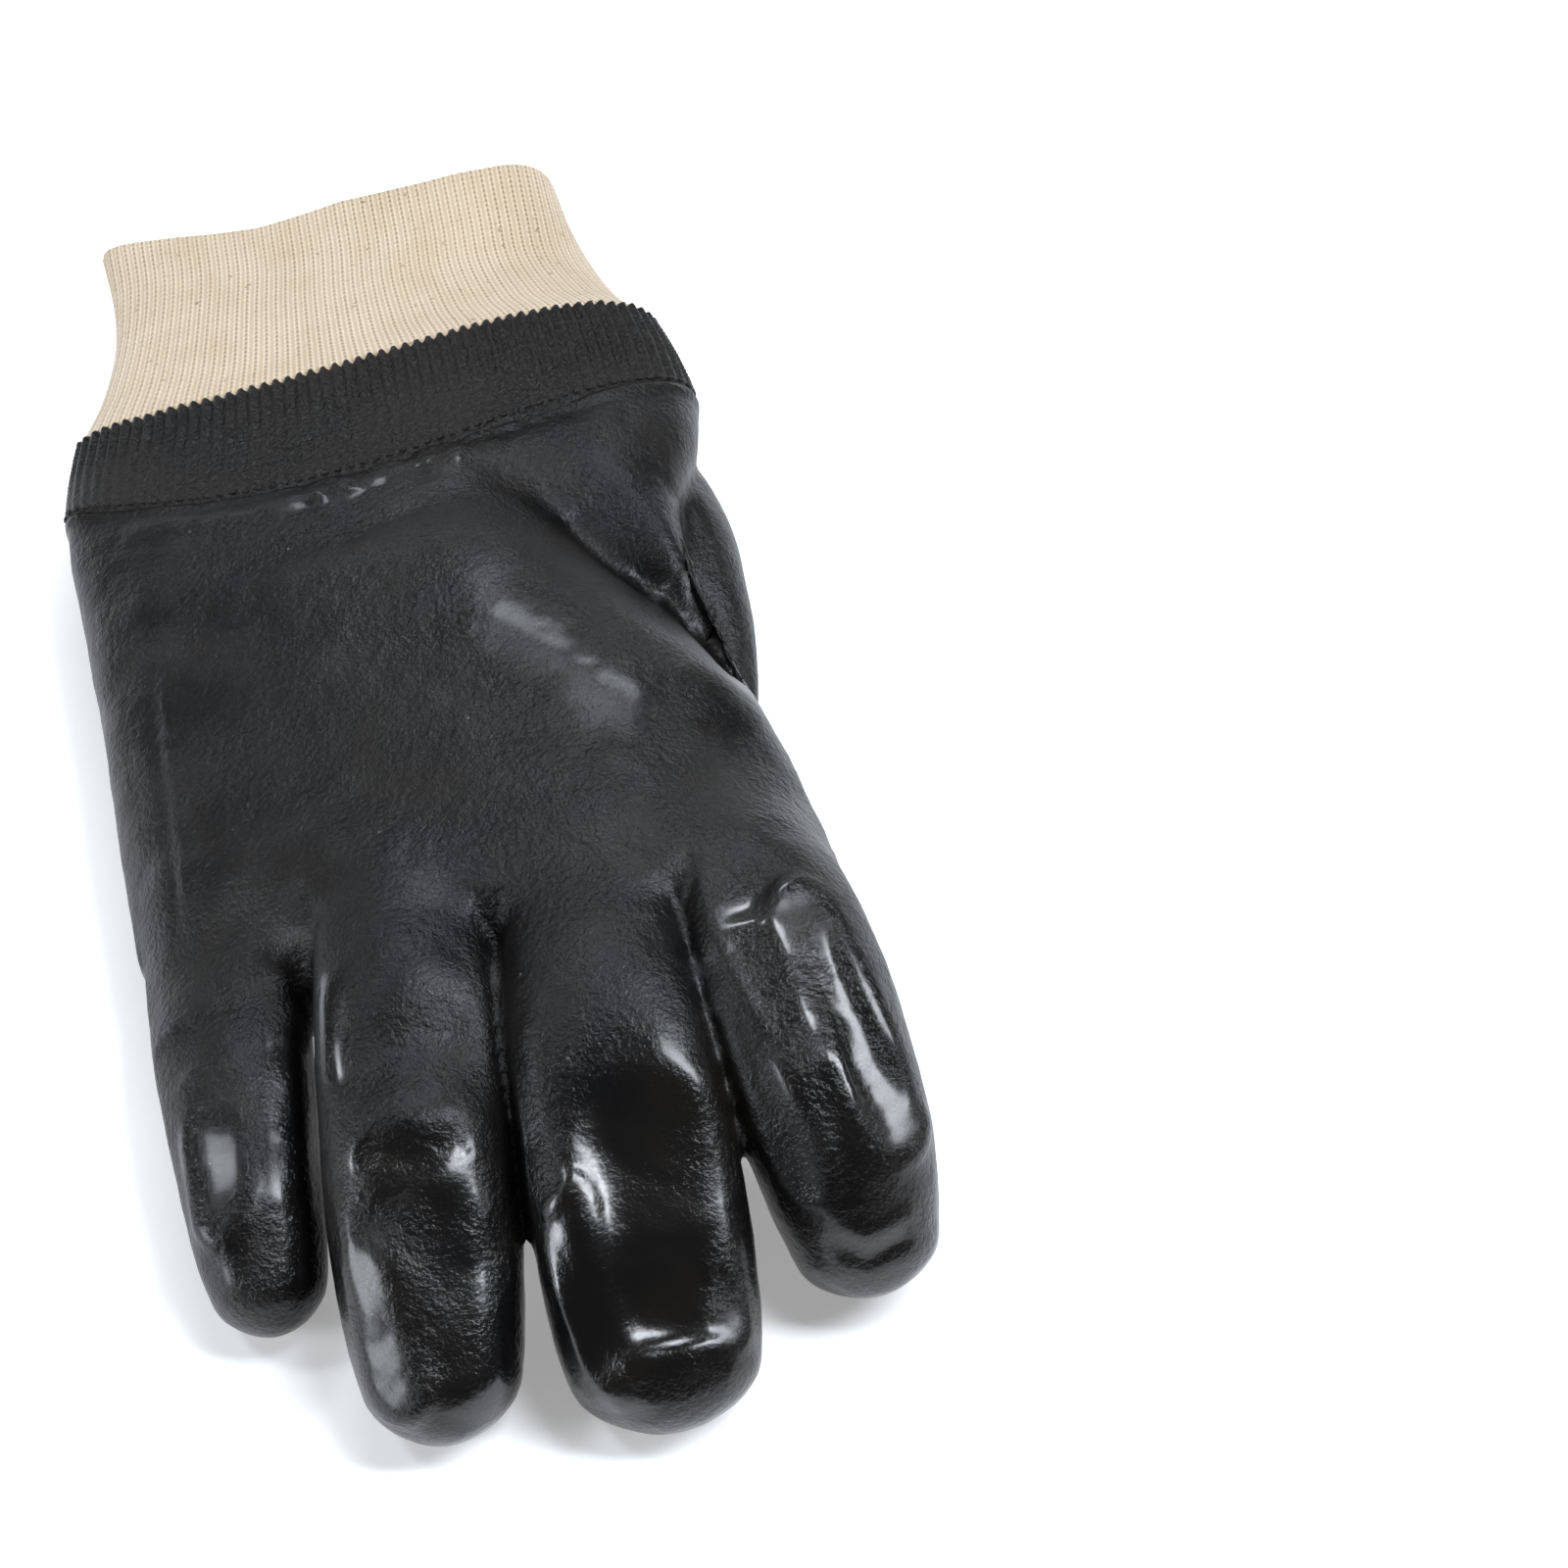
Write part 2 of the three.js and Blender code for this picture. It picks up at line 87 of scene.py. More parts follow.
def aim(thing, spot, way):
    """Puts a camera or a light at a spot and turns it to look along a way."""
    thing.location = spot
    thing.rotation_mode = "QUATERNION"
    thing.rotation_quaternion = way.to_track_quat("-Z", "Y")


camera_data = bpy.data.cameras.new("photo_camera")
camera_data.sensor_width = 36
camera_data.lens = LENS_PIXELS / FRAME_PIXELS * 36
camera = placed("photo_camera", camera_data)
aim(camera, Vector(to_row(view_eye)), Vector(-view_back))
bpy.context.scene.camera = camera

# The coated hand. A cotton jersey glove dipped in PVC on a former: five digits and a palm in one
# skin about 2 mm thick, open at the wrist. It is lofted, fused, then dented as the photo shows.
HAND_LENGTH, PALM_WIDTH, PALM_DEPTH, FINGER_WIDTH = 194.0, 117.0, 40.0, 30.0
BAND_LENGTH, CUFF_LENGTH = 18.0, 44.0
COAT_WALL, KNIT_WALL = 1.8, 2.4
SEAM_LAP = 7.0  # how far the skins run on past the wrist seam before they are trimmed
PALM_END, PALM_ROUND = 0.172, 0.075


def table(columns, *rows):
    """Rows of numbers as dicts, by the names of their columns."""
    return [dict(zip(columns.split(), row)) for row in rows]


# The outline of the wrist and palm at rows up the glove, mouth first: heights in hand, band and
# cuff lengths, sides in palm widths, and how high the edge, back and underside lie, in palm depths.
SECTIONS = table(
    "palm band cuff left right slant sag edgeL edgeR backL backR crown underL underR",
    (0.455, 1, 1.0, -0.462, 0.248, -0.01, 0.10, 0.30, 0.40, 0.50, 0.94, -0.12, -0.02, 0),
    (0.455, 1, 0.75, -0.450, 0.266, 0.02, 0.10, 0.31, 0.38, 0.54, 0.82, -0.06, -0.02, 0),
    (0.455, 1, 0.5, -0.452, 0.290, 0.05, 0.10, 0.33, 0.40, 0.58, 0.74, 0, -0.02, 0),
    (0.455, 1, 0.22, -0.480, 0.324, 0.08, 0.10, 0.36, 0.44, 0.62, 0.82, 0, -0.02, 0),
    (0.455, 1, 0, -0.518, 0.366, 0.10, 0.11, 0.38, 0.48, 0.65, 0.92, 0, -0.02, 0),
    (0.455, 0, 0, -0.540, 0.402, 0.075, 0.28, 0.42, 0.54, 0.70, 0.94, 0, -0.02, 0),
    (0.400, 0, 0, -0.540, 0.394, 0.06, 0.14, 0.42, 0.58, 0.74, 1.00, 0.02, -0.02, 0.02),
    (0.310, 0, 0, -0.524, 0.350, 0.03, 0.02, 0.42, 0.66, 0.78, 1.06, 0.04, -0.03, 0.08),
    (0.210, 0, 0, -0.512, 0.360, 0, 0, 0.42, 0.72, 0.80, 1.12, 0.06, -0.04, 0.34),
    (0.120, 0, 0, -0.504, 0.396, -0.05, 0, 0.42, 0.76, 0.80, 1.14, 0.09, -0.04, 0.58),
    (0.020, 0, 0, -0.496, 0.446, -0.10, 0, 0.42, 0.82, 0.80, 1.16, 0.13, -0.04, 0.59),
    (-0.070, 0, 0, -0.488, 0.484, -0.16, 0, 0.42, 0.86, 0.80, 1.18, 0.18, -0.02, 0.60),
    (-0.185, 0, 0, -0.475, 0.505, -0.20, 0, 0.42, 0.86, 0.80, 1.18, 0.18, 0.04, 0.60))
# Each digit from root to tip: aside in palm widths, reach in hand lengths, how high it lies in palm
# depths, and its width and depth in finger widths.
DIGITS = {name: table("aside reach under wide deep", *rows) for name, rows in {
    "little": [
        (-0.372, 0.030, 0.10, 0.82, 0.78), (-0.366, 0.115, 0.14, 0.85, 0.84),
        (-0.362, 0.200, 0.16, 0.82, 0.82), (-0.358, 0.280, 0.10, 0.75, 0.74),
        (-0.350, 0.345, 0.02, 0.66, 0.62), (-0.338, 0.399, -0.03, 0.48, 0.50)],
    "ring": [
        (-0.120, 0.050, 0.43, 0.90, 0.74), (-0.124, 0.160, 0.51, 0.97, 0.86),
        (-0.130, 0.270, 0.42, 1.00, 0.88), (-0.134, 0.375, 0.20, 0.98, 0.84),
        (-0.136, 0.455, 0.02, 0.88, 0.76), (-0.136, 0.521, -0.03, 0.66, 0.58)],
    "middle": [
        (0.130, 0.070, 0.50, 0.90, 0.72), (0.131, 0.190, 0.58, 1.00, 0.90),
        (0.138, 0.305, 0.50, 1.08, 0.92), (0.148, 0.405, 0.26, 1.11, 0.84),
        (0.156, 0.477, 0.02, 1.04, 0.76), (0.160, 0.535, -0.03, 0.80, 0.58)],
    "index": [
        (0.348, 0.070, 0.62, 0.80, 0.64), (0.368, 0.175, 0.68, 0.94, 0.84),
        (0.393, 0.265, 0.58, 1.01, 0.88), (0.421, 0.340, 0.32, 0.96, 0.84),
        (0.441, 0.390, 0.06, 0.81, 0.74), (0.452, 0.433, -0.03, 0.62, 0.56)],
    "thumb": [
        (0.280, -0.425, 0.02, 0.92, 0.74), (0.298, -0.330, 0.02, 1.06, 0.86),
        (0.300, -0.220, -0.02, 1.06, 0.82), (0.264, -0.115, -0.05, 1.06, 0.76),
        (0.205, -0.010, -0.05, 1.06, 0.72), (0.130, 0.090, -0.04, 1.00, 0.70),
        (0.055, 0.185, -0.03, 0.88, 0.62)],
}.items()}
# Broad hollows and swells of the back of the hand: across in palm widths, reach in hand lengths.
SWELLS = table(
    "across reach to_across to_reach broad lift",
    (0.17, -0.315, 0.30, -0.205, 0.38, -0.13),
    (0.31, -0.205, 0.38, -0.125, 0.30, -0.08),
    (0.06, -0.235, 0.28, -0.080, 0.45, 0.06),
    (-0.24, -0.02, -0.05, 0.02, 0.60, -0.05),
    (0.02, 0.02, 0.20, 0.08, 0.45, 0.05),
    (-0.39, 0.095, -0.36, 0.125, 0.40, -0.07),
    (-0.17, 0.265, -0.09, 0.260, 0.26, -0.08),
    (0.11, 0.335, 0.17, 0.380, 0.42, -0.14),
    (0.09, 0.485, 0.21, 0.470, 0.22, -0.06),
    (0.335, 0.190, 0.365, 0.290, 0.26, -0.07),
    (-0.45, -0.43, 0.20, -0.43, 0.16, -0.03))


def ease(low, high, value):
    """0 at low, 1 at high, and smooth between them."""
    t = np.clip((value - low) / (high - low), 0, 1)
    return t * t * (3 - 2 * t)


def blend_rows(rows, keys, places):
    """Every column of a table at places between its rows, passing smoothly through each row."""
    last = len(keys) - 1
    i = np.clip(np.searchsorted(keys, places, "left") - 1, 0, last - 1)
    span = keys[i + 1] - keys[i]
    t = (places - keys[i]) / span
    low, high = np.maximum(i - 1, 0), np.minimum(i + 2, last)
    made = {}
    for name in rows[0]:
        column = np.array([row[name] for row in rows], float)
        a, b = column[i], column[i + 1]
        straight = (b - a) / span
        before = np.where(i > 0, (b - column[low]) / (keys[i + 1] - keys[low]), straight)
        after = np.where(i < last - 1, (column[high] - a) / (keys[high] - keys[i]), straight)
        made[name] = ((2 * t**3 - 3 * t**2 + 1) * a + (t**3 - 2 * t**2 + t) * span * before
                      + (3 * t**2 - 2 * t**3) * b + (t**3 - t**2) * span * after)
    return made


SECTION_KEYS = np.array([-(r["palm"] * HAND_LENGTH + r["band"] * BAND_LENGTH + r["cuff"] * CUFF_LENGTH)
                         for r in SECTIONS])
BODY_SQUARE, DIGIT_SQUARE = 2.5, 2.25  # 2 is an ellipse; more is squarer


def turn_angles(count):
    return np.linspace(0, 2 * np.pi, count, endpoint=False)


def squared(value, square):
    """A cosine or sine bent toward a rounded square."""
    return np.sign(value) * np.abs(value) ** (2 / square)


def across_to(row, name, share):
    """A section's value between its left and its right column."""
    return row[name + "L"] + (row[name + "R"] - row[name + "L"]) * share


def dip_of(row, across):
    """How far a section hangs down toward the fingers on the back of the hand."""
    return row["sag"] * PALM_DEPTH * (1 - across**2) * (1 - 0.6 * across)


def body_rings(ys, angles, inset, squeeze=1.0):
    """Rings of the palm and wrist, one for each height up the glove: rings x angles x 3."""
    row = {k: v[:, None] for k, v in blend_rows(SECTIONS, SECTION_KEYS, -ys).items()}
    squeeze = np.broadcast_to(np.asarray(squeeze, float), (len(ys),))[:, None]
    left = row["left"] * PALM_WIDTH + inset
    right = row["right"] * PALM_WIDTH - inset
    cos, sin = np.cos(angles)[None, :], np.sin(angles)[None, :]
    across = squared(cos, BODY_SQUARE)
    swell = np.abs(squared(sin, BODY_SQUARE)) * squeeze
    x = (left + right) / 2 + across * (0.86 + 0.14 * squeeze) * (right - left) / 2
    side = (across + 1) / 2
    edge = across_to(row, "edge", side) * PALM_DEPTH
    back = (across_to(row, "back", side) + row["crown"] * (1 - across**2)) * PALM_DEPTH - inset
    under = across_to(row, "under", ease(-0.6, -0.05, across)) * PALM_DEPTH + inset
    upward = sin > 0
    z = np.where(upward, edge + (back - edge) * swell, edge - (edge - under) * swell)
    y = ys[:, None] + row["slant"] * x - np.where(upward, dip_of(row, across), 0)
    return np.stack([x, y, z], -1)


def unit(ways):
    """Directions of length 1."""
    return ways / np.maximum(np.linalg.norm(ways, axis=1, keepdims=True), 1e-12)


def run_along(line):
    """The length of a line up to each of its points."""
    return np.concatenate([[0], np.cumsum(np.linalg.norm(np.diff(line, axis=0), axis=1))])


def digit_rings(rows, around, steps, inset=0.0):
    """Rings of a finger or the thumb from its root to its rounded tip."""
    keys = np.linspace(0, 1, len(rows))

    def centre(u):
        row = blend_rows(rows, keys, u)
        z = row["under"] * PALM_DEPTH + row["deep"] * FINGER_WIDTH / 2
        return np.stack([row["aside"] * PALM_WIDTH, -row["reach"] * HAND_LENGTH, z], -1), row

    line, _ = centre(np.linspace(0, 1, 41))
    length = run_along(line)[-1]
    cap = rows[-1]["wide"] * FINGER_WIDTH * 0.62 / length
    bow = np.radians(np.linspace(0, 88, 16))[1:]
    end = 1 - inset / length
    stops = np.concatenate([np.linspace(2 * inset / length, end - cap, steps),
                            end - cap + cap * np.sin(bow)])
    shrink = np.concatenate([np.ones(steps), np.cos(bow)])
    middle, row = centre(stops)
    ahead = unit(centre(np.minimum(1, stops + 0.02))[0] - centre(np.maximum(0, stops - 0.02))[0])
    aside = unit(np.cross([0, 0, 1], ahead))
    up = np.cross(ahead, aside)
    angles = turn_angles(around)
    across, rise = squared(np.cos(angles), DIGIT_SQUARE), squared(np.sin(angles), DIGIT_SQUARE)
    half = ((row["wide"] * FINGER_WIDTH / 2 - inset) * shrink)[:, None, None]
    tall = ((row["deep"] * FINGER_WIDTH / 2 - inset) * shrink)[:, None, None]
    return (middle[:, None, :] + aside[:, None, :] * across[None, :, None] * half
            + up[:, None, :] * rise[None, :, None] * tall)


def closed_skin(rings):
    """Points and faces of a closed skin over rings, each end closed on a middle point."""
    count, around = rings.shape[:2]
    points = np.concatenate([rings.reshape(-1, 3), rings[:1].mean(1), rings[-1:].mean(1)])
    i = np.arange(around)
    j = (i + 1) % around
    faces = []
    for r in range(count - 1):
        faces += np.stack([r * around + i, r * around + j, (r + 1) * around + j,
                           (r + 1) * around + i], -1).tolist()
    first, last = count * around, (count - 1) * around
    faces += [[first, b, a] for a, b in zip(i.tolist(), j.tolist())]
    faces += [[first + 1, last + a, last + b] for a, b in zip(i.tolist(), j.tolist())]
    return points, faces


def mesh_object(name, points, faces, edges=()):
    """An object at the origin from points in metres."""
    mesh = bpy.data.meshes.new(name)
    mesh.from_pydata(np.asarray(points).tolist(), edges, faces)
    mesh.update()
    return placed(name, mesh)


def fused(name, skins, grain):
    """Overlapping closed skins made one even skin, returned as points (mm) and quads."""
    points, faces, base = [], [], 0
    for rings in skins:
        p, f = closed_skin(rings)
        points.append(p)
        faces += [[base + v for v in face] for face in f]
        base += len(p)
    whole = mesh_object(name, to_row(np.concatenate(points)), faces)
    step = whole.modifiers.new("fuse", "REMESH")
    step.mode = "VOXEL"
    step.voxel_size = grain * MM
    done = bpy.data.meshes.new_from_object(whole.evaluated_get(bpy.context.evaluated_depsgraph_get()))
    p = np.empty(len(done.vertices) * 3)
    done.vertices.foreach_get("co", p)
    quads = np.array([f.vertices[:] for f in done.polygons])
    bpy.data.objects.remove(whole)
    bpy.data.meshes.remove(done)
    return p.reshape(-1, 3) / MM + DRAWING_MIDDLE, quads


def edges_of(quads):
    pairs = np.concatenate([quads[:, [k, (k + 1) % 4]] for k in range(4)])
    return np.unique(np.sort(pairs, axis=1), axis=0)


def averaged(values, edges, count):
    """Mean of each point's neighbours."""
    share = np.bincount(edges.ravel(), minlength=count)[:, None]
    total = np.stack([
        np.bincount(edges[:, 0], values[edges[:, 1], k], count)
        + np.bincount(edges[:, 1], values[edges[:, 0], k], count)
        for k in range(values.shape[1])
    ], -1)
    return total / np.maximum(share, 1)


def smoothed(points, edges, rounds):
    """Evens a skin, each round followed by one that swells it back to its size."""
    points = points.copy()
    for _ in range(rounds):
        for step in (0.5, -0.53):
            points += step * (averaged(points, edges, len(points)) - points)
    return points


def normals_of(points, quads):
    """Outward directions of a skin at its points."""
    corner = points[quads]
    across = np.cross(corner[:, 2] - corner[:, 0], corner[:, 3] - corner[:, 1])
    total = np.stack([
        sum(np.bincount(quads[:, c], across[:, k], len(points)) for c in range(4)) for k in range(3)
    ], -1)
    return unit(total)


def ripple(points, wavelength, seed, waves=28):
    """Smooth uneven relief of about -1 to 1, the same on every run."""
    dice = np.random.default_rng(seed)
    way = unit(dice.normal(size=(waves, 3)))
    way *= (2 * np.pi / (wavelength * dice.uniform(0.7, 1.5, waves)))[:, None]
    phase = dice.uniform(0, 2 * np.pi, waves)
    total = np.zeros(len(points))
    for k in range(waves):
        total += np.cos(points @ way[k] + phase[k])
    return total / math.sqrt(waves) / 1.2


SEAM = SECTIONS[5]
SEAM_UP = SEAM["palm"] * HAND_LENGTH


def above_seam(points):
    """How far each point lies beyond the curved wrist seam, toward the knit, in millimetres."""
    left, right = SEAM["left"] * PALM_WIDTH, SEAM["right"] * PALM_WIDTH
    across = np.clip((points[:, 0] - (left + right) / 2) / ((right - left) / 2), -1, 1)
    dip = np.where(points[:, 2] > across_to(SEAM, "edge", (across + 1) / 2) * PALM_DEPTH,
                   dip_of(SEAM, across), 0)
    return points[:, 1] - SEAM_UP - SEAM["slant"] * points[:, 0] + dip


def glove_skins(around, rings, digit_around, digit_count, inset=0.0):
    """The closed skins of the palm and the five digits, drawn in by inset."""
    end, bend = -PALM_END * HAND_LENGTH + inset, PALM_ROUND * HAND_LENGTH
    bow = np.radians(np.linspace(0, 80, 14))[1:]
    places = np.concatenate([np.linspace(SEAM_UP + SEAM_LAP, end + bend, rings),
                             end + bend * (1 - np.sin(bow))])
    squeeze = np.concatenate([np.ones(rings), np.cos(bow)])
    return [body_rings(places, turn_angles(around), inset, squeeze)] + [
        digit_rings(rows, digit_around, digit_count, inset) for rows in DIGITS.values()]


SKIN_GRAIN, LINING_GRAIN = 0.98, 2.2  # millimetres between points
skin_points, skin_quads = fused("hand_fused", glove_skins(220, 90, 84, 90), SKIN_GRAIN)
skin_edges = edges_of(skin_quads)
skin_points = smoothed(skin_points, skin_edges, 12)
plain_points = skin_points.copy()

# The back of the hand runs on into the fingers without a step; only the slits stay sharp.
SLITS = table(
    "across reach to_across to_reach",
    (-0.257, 0.135, -0.257, 0.42),
    (0.001, 0.135, 0.004, 0.54),
    (0.250, 0.125, 0.300, 0.45))


def line_distance(points, stroke):
    """Distance in plan from a table row's line, in millimetres."""
    a = np.array([stroke["across"] * PALM_WIDTH, -stroke["reach"] * HAND_LENGTH])
    d = np.array([stroke["to_across"] * PALM_WIDTH, -stroke["to_reach"] * HAND_LENGTH]) - a
    share = np.clip(((points[:, :2] - a) @ d) / (d @ d), 0, 1)
    return np.linalg.norm(points[:, :2] - a - share[:, None] * d, axis=1)


SOFT_ROUNDS = 260
upper = ease(0.0, 0.55, normals_of(skin_points, skin_quads)[:, 2])
soft = upper * ease(-64, -46, skin_points[:, 1]) * ease(16, 0, skin_points[:, 1])
for slit in SLITS:
    soft *= ease(2.0, 8.0, line_distance(skin_points, slit))
for _ in range(SOFT_ROUNDS):
    mean = averaged(skin_points, skin_edges, len(skin_points))
    skin_points += 0.6 * soft[:, None] * (mean - skin_points)

upper = ease(0.0, 0.55, normals_of(skin_points, skin_quads)[:, 2])
for s in SWELLS:
    away = line_distance(skin_points, s)
    share = np.exp(-(away / (s["broad"] * FINGER_WIDTH)) ** 2)
    skin_points[:, 2] += s["lift"] * PALM_DEPTH * share * upper

# Creases, ridges and dents, each along a line of photograph pixels on the skin. wide and lift are
# millimetres at the line's middle. crisp above 2 gives a flat-bottomed dent with a firm rim.
CREASES = table(
    "wide lift crisp line",
    (3.0, -2.3, 2, [(545, 496), (592, 535), (640, 572), (682, 603), (716, 642), (756, 698)]),
    (6.5, -2.0, 2, [(580, 515), (640, 562), (680, 600)]),
    (1.6, -0.9, 2, [(700, 625), (735, 668), (764, 704)]),
    (6.0, 1.0, 2, [(560, 585), (630, 622), (700, 668), (765, 735), (820, 810)]),
    (4.0, 0.5, 2, [(455, 470), (500, 500), (560, 540)]),
    (3.2, 0.8, 2, [(610, 470), (665, 520), (705, 590), (738, 660)]),
    (1.6, -0.4, 2, [(660, 455), (700, 520), (735, 600)]),
    (1.9, 0.8, 2, [(715, 930), (748, 985), (790, 1060), (822, 1140), (850, 1245)]),
    (4.0, -0.9, 4, [(742, 985), (775, 1060), (800, 1130), (822, 1200)]),
    (2.8, 1.0, 2, [(806, 930), (838, 1000), (864, 1080), (888, 1165)]),
    (2.2, -0.7, 2, [(820, 1035), (846, 1105), (862, 1170), (872, 1230)]),
    (1.7, -0.8, 2, [(846, 1262), (885, 1288), (932, 1262)]),
    (1.8, 0.5, 2, [(838, 1240), (880, 1262), (935, 1238)]),
    (9.0, -0.9, 4, [(672, 1170), (684, 1240), (692, 1300)]),
    (1.7, 0.7, 2, [(552, 1246), (574, 1218), (590, 1190)]),
    (1.8, 0.8, 2, [(556, 1250), (572, 1320), (602, 1400), (640, 1440)]),
    (2.6, 0.7, 2, [(620, 1410), (650, 1384), (700, 1372), (775, 1366)]),
    (3.2, -0.5, 2, [(650, 1415), (690, 1402), (745, 1400)]),
    (3.0, 0.35, 2, [(360, 1135), (420, 1142), (490, 1118)]),
    (3.2, -1.0, 2, [(362, 1170), (420, 1180), (478, 1166)]),
    (6.5, -0.8, 3, [(415, 1235), (450, 1262), (475, 1290)]),
    (2.4, 0.7, 2, [(345, 1215), (362, 1290), (385, 1370)]),
    (6.0, -1.0, 2, [(182, 1045), (198, 1095)]),
    (2.4, 0.5, 2, [(172, 1148), (208, 1132), (252, 1138)]),
    (2.4, 0.5, 2, [(200, 1180), (222, 1250), (250, 1320)]),
    (4.5, 0.4, 2, [(240, 1012), (272, 968), (316, 944), (362, 942), (405, 960), (445, 990), (474, 1032),
     (500, 1085)]),
    (2.4, -0.9, 2, [(300, 900), (314, 940), (318, 985)]),
    (4.0, -0.35, 2, [(720, 905), (760, 896), (800, 905)]),
    (1.3, -0.4, 2, [(150, 676), (160, 760), (168, 840), (178, 910), (181, 985)]),
    (1.6, 0.3, 2, [(162, 690), (172, 770), (182, 850), (190, 930)]),
    (10.0, 0.9, 2, [(350, 565), (470, 635), (600, 715), (730, 800)]),
    (13.0, -1.3, 2, [(150, 640), (260, 750), (400, 815), (560, 850), (680, 820)]),
    (2.4, 0.7, 2, [(120, 545), (250, 527), (380, 488), (500, 444), (600, 420)]),
    (4.0, -0.9, 2, [(190, 590), (330, 552), (460, 508), (550, 470)]))


def skin_cover(points, quads):
    return BVHTree.FromPolygons(points.tolist(), quads.tolist())


def near_tree(points):
    tree = KDTree(len(points))
    for k, spot in enumerate(points):
        tree.insert(spot, k)
    tree.balance()
    return tree


def cast_line(cover, line, pixels, least=4):
    """The points of a skin that the camera sees along a line of photograph pixels.

    Returns the points, each one's share of the line, and each one's line of sight."""
    line = np.array(line, float)
    gone = run_along(line)
    spots, shares, sights = [], [], []
    for at in np.linspace(0, gone[-1], max(least, int(gone[-1] / pixels))):
        sight = sight_line(np.interp(at, gone, line[:, 0]), np.interp(at, gone, line[:, 1]))
        hit = cover.ray_cast(Vector(view_eye), Vector(sight))[0]
        if hit is not None:
            spots.append(hit)
            shares.append(at / gone[-1])
            sights.append(sight)
    return spots, shares, sights


def crease_skin(points, quads, creases):
    """Moves a skin along its normals by every crease, drawn on the side the camera sees."""
    cover = skin_cover(points, quads)
    normal = normals_of(points, quads)
    moved = np.zeros(len(points))
    for crease in creases:
        spots, share, _ = cast_line(cover, crease["line"], 5)
        if len(spots) < 2:
            continue
        near = near_tree(spots)
        spots = np.array(spots)
        reach = 2.6 * crease["wide"]
        low, high = spots.min(0) - reach, spots.max(0) + reach
        for v in np.nonzero(np.all((points > low) & (points < high), axis=1))[0]:
            _, k, away = near.find(points[v])
            if away < reach:
                facing = float(ease(-0.1, 0.4, normal[v] @ view_back))
                fade = 1 if crease["crisp"] > 2 else math.sin(math.pi * min(1, max(0, share[k]))) ** 0.5
                fall = math.exp(-((away / crease["wide"]) ** crease["crisp"]))
                moved[v] += crease["lift"] * fall * fade * facing
    return points + normal * moved[:, None]


skin_points = crease_skin(skin_points, skin_quads, CREASES)

# Flat places between the creases, each pressed flat along its line and turned about it until it
# mirrors what lies at an azimuth (0 away from the camera, 90 toward the thumb) and a height, both
# in degrees. straight is how far the line itself is drawn onto its chord, share how firmly.
FACETS = table(
    "wide mirrors straight share line",
    (5.4, (106, 44), 0.7, 0.85, [(812, 922), (838, 970), (862, 1020), (885, 1065), (906, 1112),
     (924, 1152)]),
    (4.5, (176, 52), 0.0, 0.6, [(770, 960), (800, 1030), (835, 1110)]),
    (9.5, (178, 38), 0.3, 0.8, [(655, 1150), (666, 1230), (676, 1310)]),
    (3.4, (108, 47), 0.0, 0.8, [(728, 1325), (752, 1355)]),
    (5.0, (-106, 18), 0.4, 0.8, [(372, 1300), (386, 1370), (404, 1425)]),
    (5.0, (165, 45), 0.0, 0.5, [(450, 1240), (462, 1310), (460, 1380)]),
    (5.4, (-74, 56), 0.0, 0.7, [(212, 1165), (222, 1240)]))


def turned_faces(points, quads, facets):
    """Presses the skin around each facet's line onto a plane that the light falls on as given."""
    cover = skin_cover(points, quads)
    normal = normals_of(points, quads)
    for _ in range(2):
        normal = averaged(normal, skin_edges, len(points))
    normal = unit(normal)
    moved = np.zeros(len(points))
    for facet in facets:
        spots, _, sights = cast_line(cover, facet["line"], 7, 3)
        spots = np.array(spots)
        wanted = unit(np.array(toward(*facet["mirrors"])) - np.array(sights))
        chord = spots[0] + np.linspace(0, 1, len(spots))[:, None] * (spots[-1] - spots[0])
        planes = spots + facet["straight"] * (chord - spots) - 0.012 * facet["wide"] ** 2 * wanted
        reach = 1.8 * facet["wide"]
        inside = np.all((points > spots.min(0) - reach) & (points < spots.max(0) + reach), axis=1)
        some = np.nonzero(inside)[0]
        apart = points[some, None, :] - planes[None, :, :]
        away = np.linalg.norm(points[some, None, :] - spots[None, :, :], axis=2)
        weight = np.exp(-((away / (0.5 * facet["wide"] + 1.0)) ** 2)) + 1e-12
        facing = np.maximum(normal[some] @ wanted.T, 0.6)
        lift = -(weight * (apart * wanted[None, :, :]).sum(2) / facing).sum(1) / weight.sum(1)
        fade = facet["share"] * np.exp(-((away.min(1) / facet["wide"]) ** 4))
        moved[some] += np.clip(lift, -4, 2) * fade * ease(-0.1, 0.4, normal[some] @ view_back)
    return points + normal * moved[:, None]


skin_points = turned_faces(skin_points, skin_quads, FACETS)

# Small puckers where the jersey is gathered into the wrist seam.
dice = np.random.default_rng(7)
puckers = []
for _ in range(46):
    t = dice.uniform(0.02, 0.98)
    px = 300 + 200 * t
    py = 505 - 62 * t + dice.uniform(-14, 16)
    lean = dice.uniform(-16, 16)
    reach = dice.uniform(7, 18)
    puckers.append(dict(line=[(px - lean, py - reach), (px, py), (px + lean * 0.4, py + reach)], crisp=2,
                        wide=dice.uniform(0.9, 1.5), lift=dice.choice([-1, 1]) * dice.uniform(0.2, 0.5)))
for _ in range(60):
    px = dice.uniform(85, 690)
    py = np.interp(px, [70, 197, 318, 420, 541, 700], [530, 522, 488, 454, 420, 412]) + dice.uniform(6, 30)
    puckers.append(dict(line=[(px, py - 12), (px + dice.uniform(-5, 5), py + 12)], crisp=2,
                        wide=dice.uniform(1.0, 1.7), lift=dice.uniform(-0.28, 0.22)))
skin_points = crease_skin(skin_points, skin_quads, puckers)

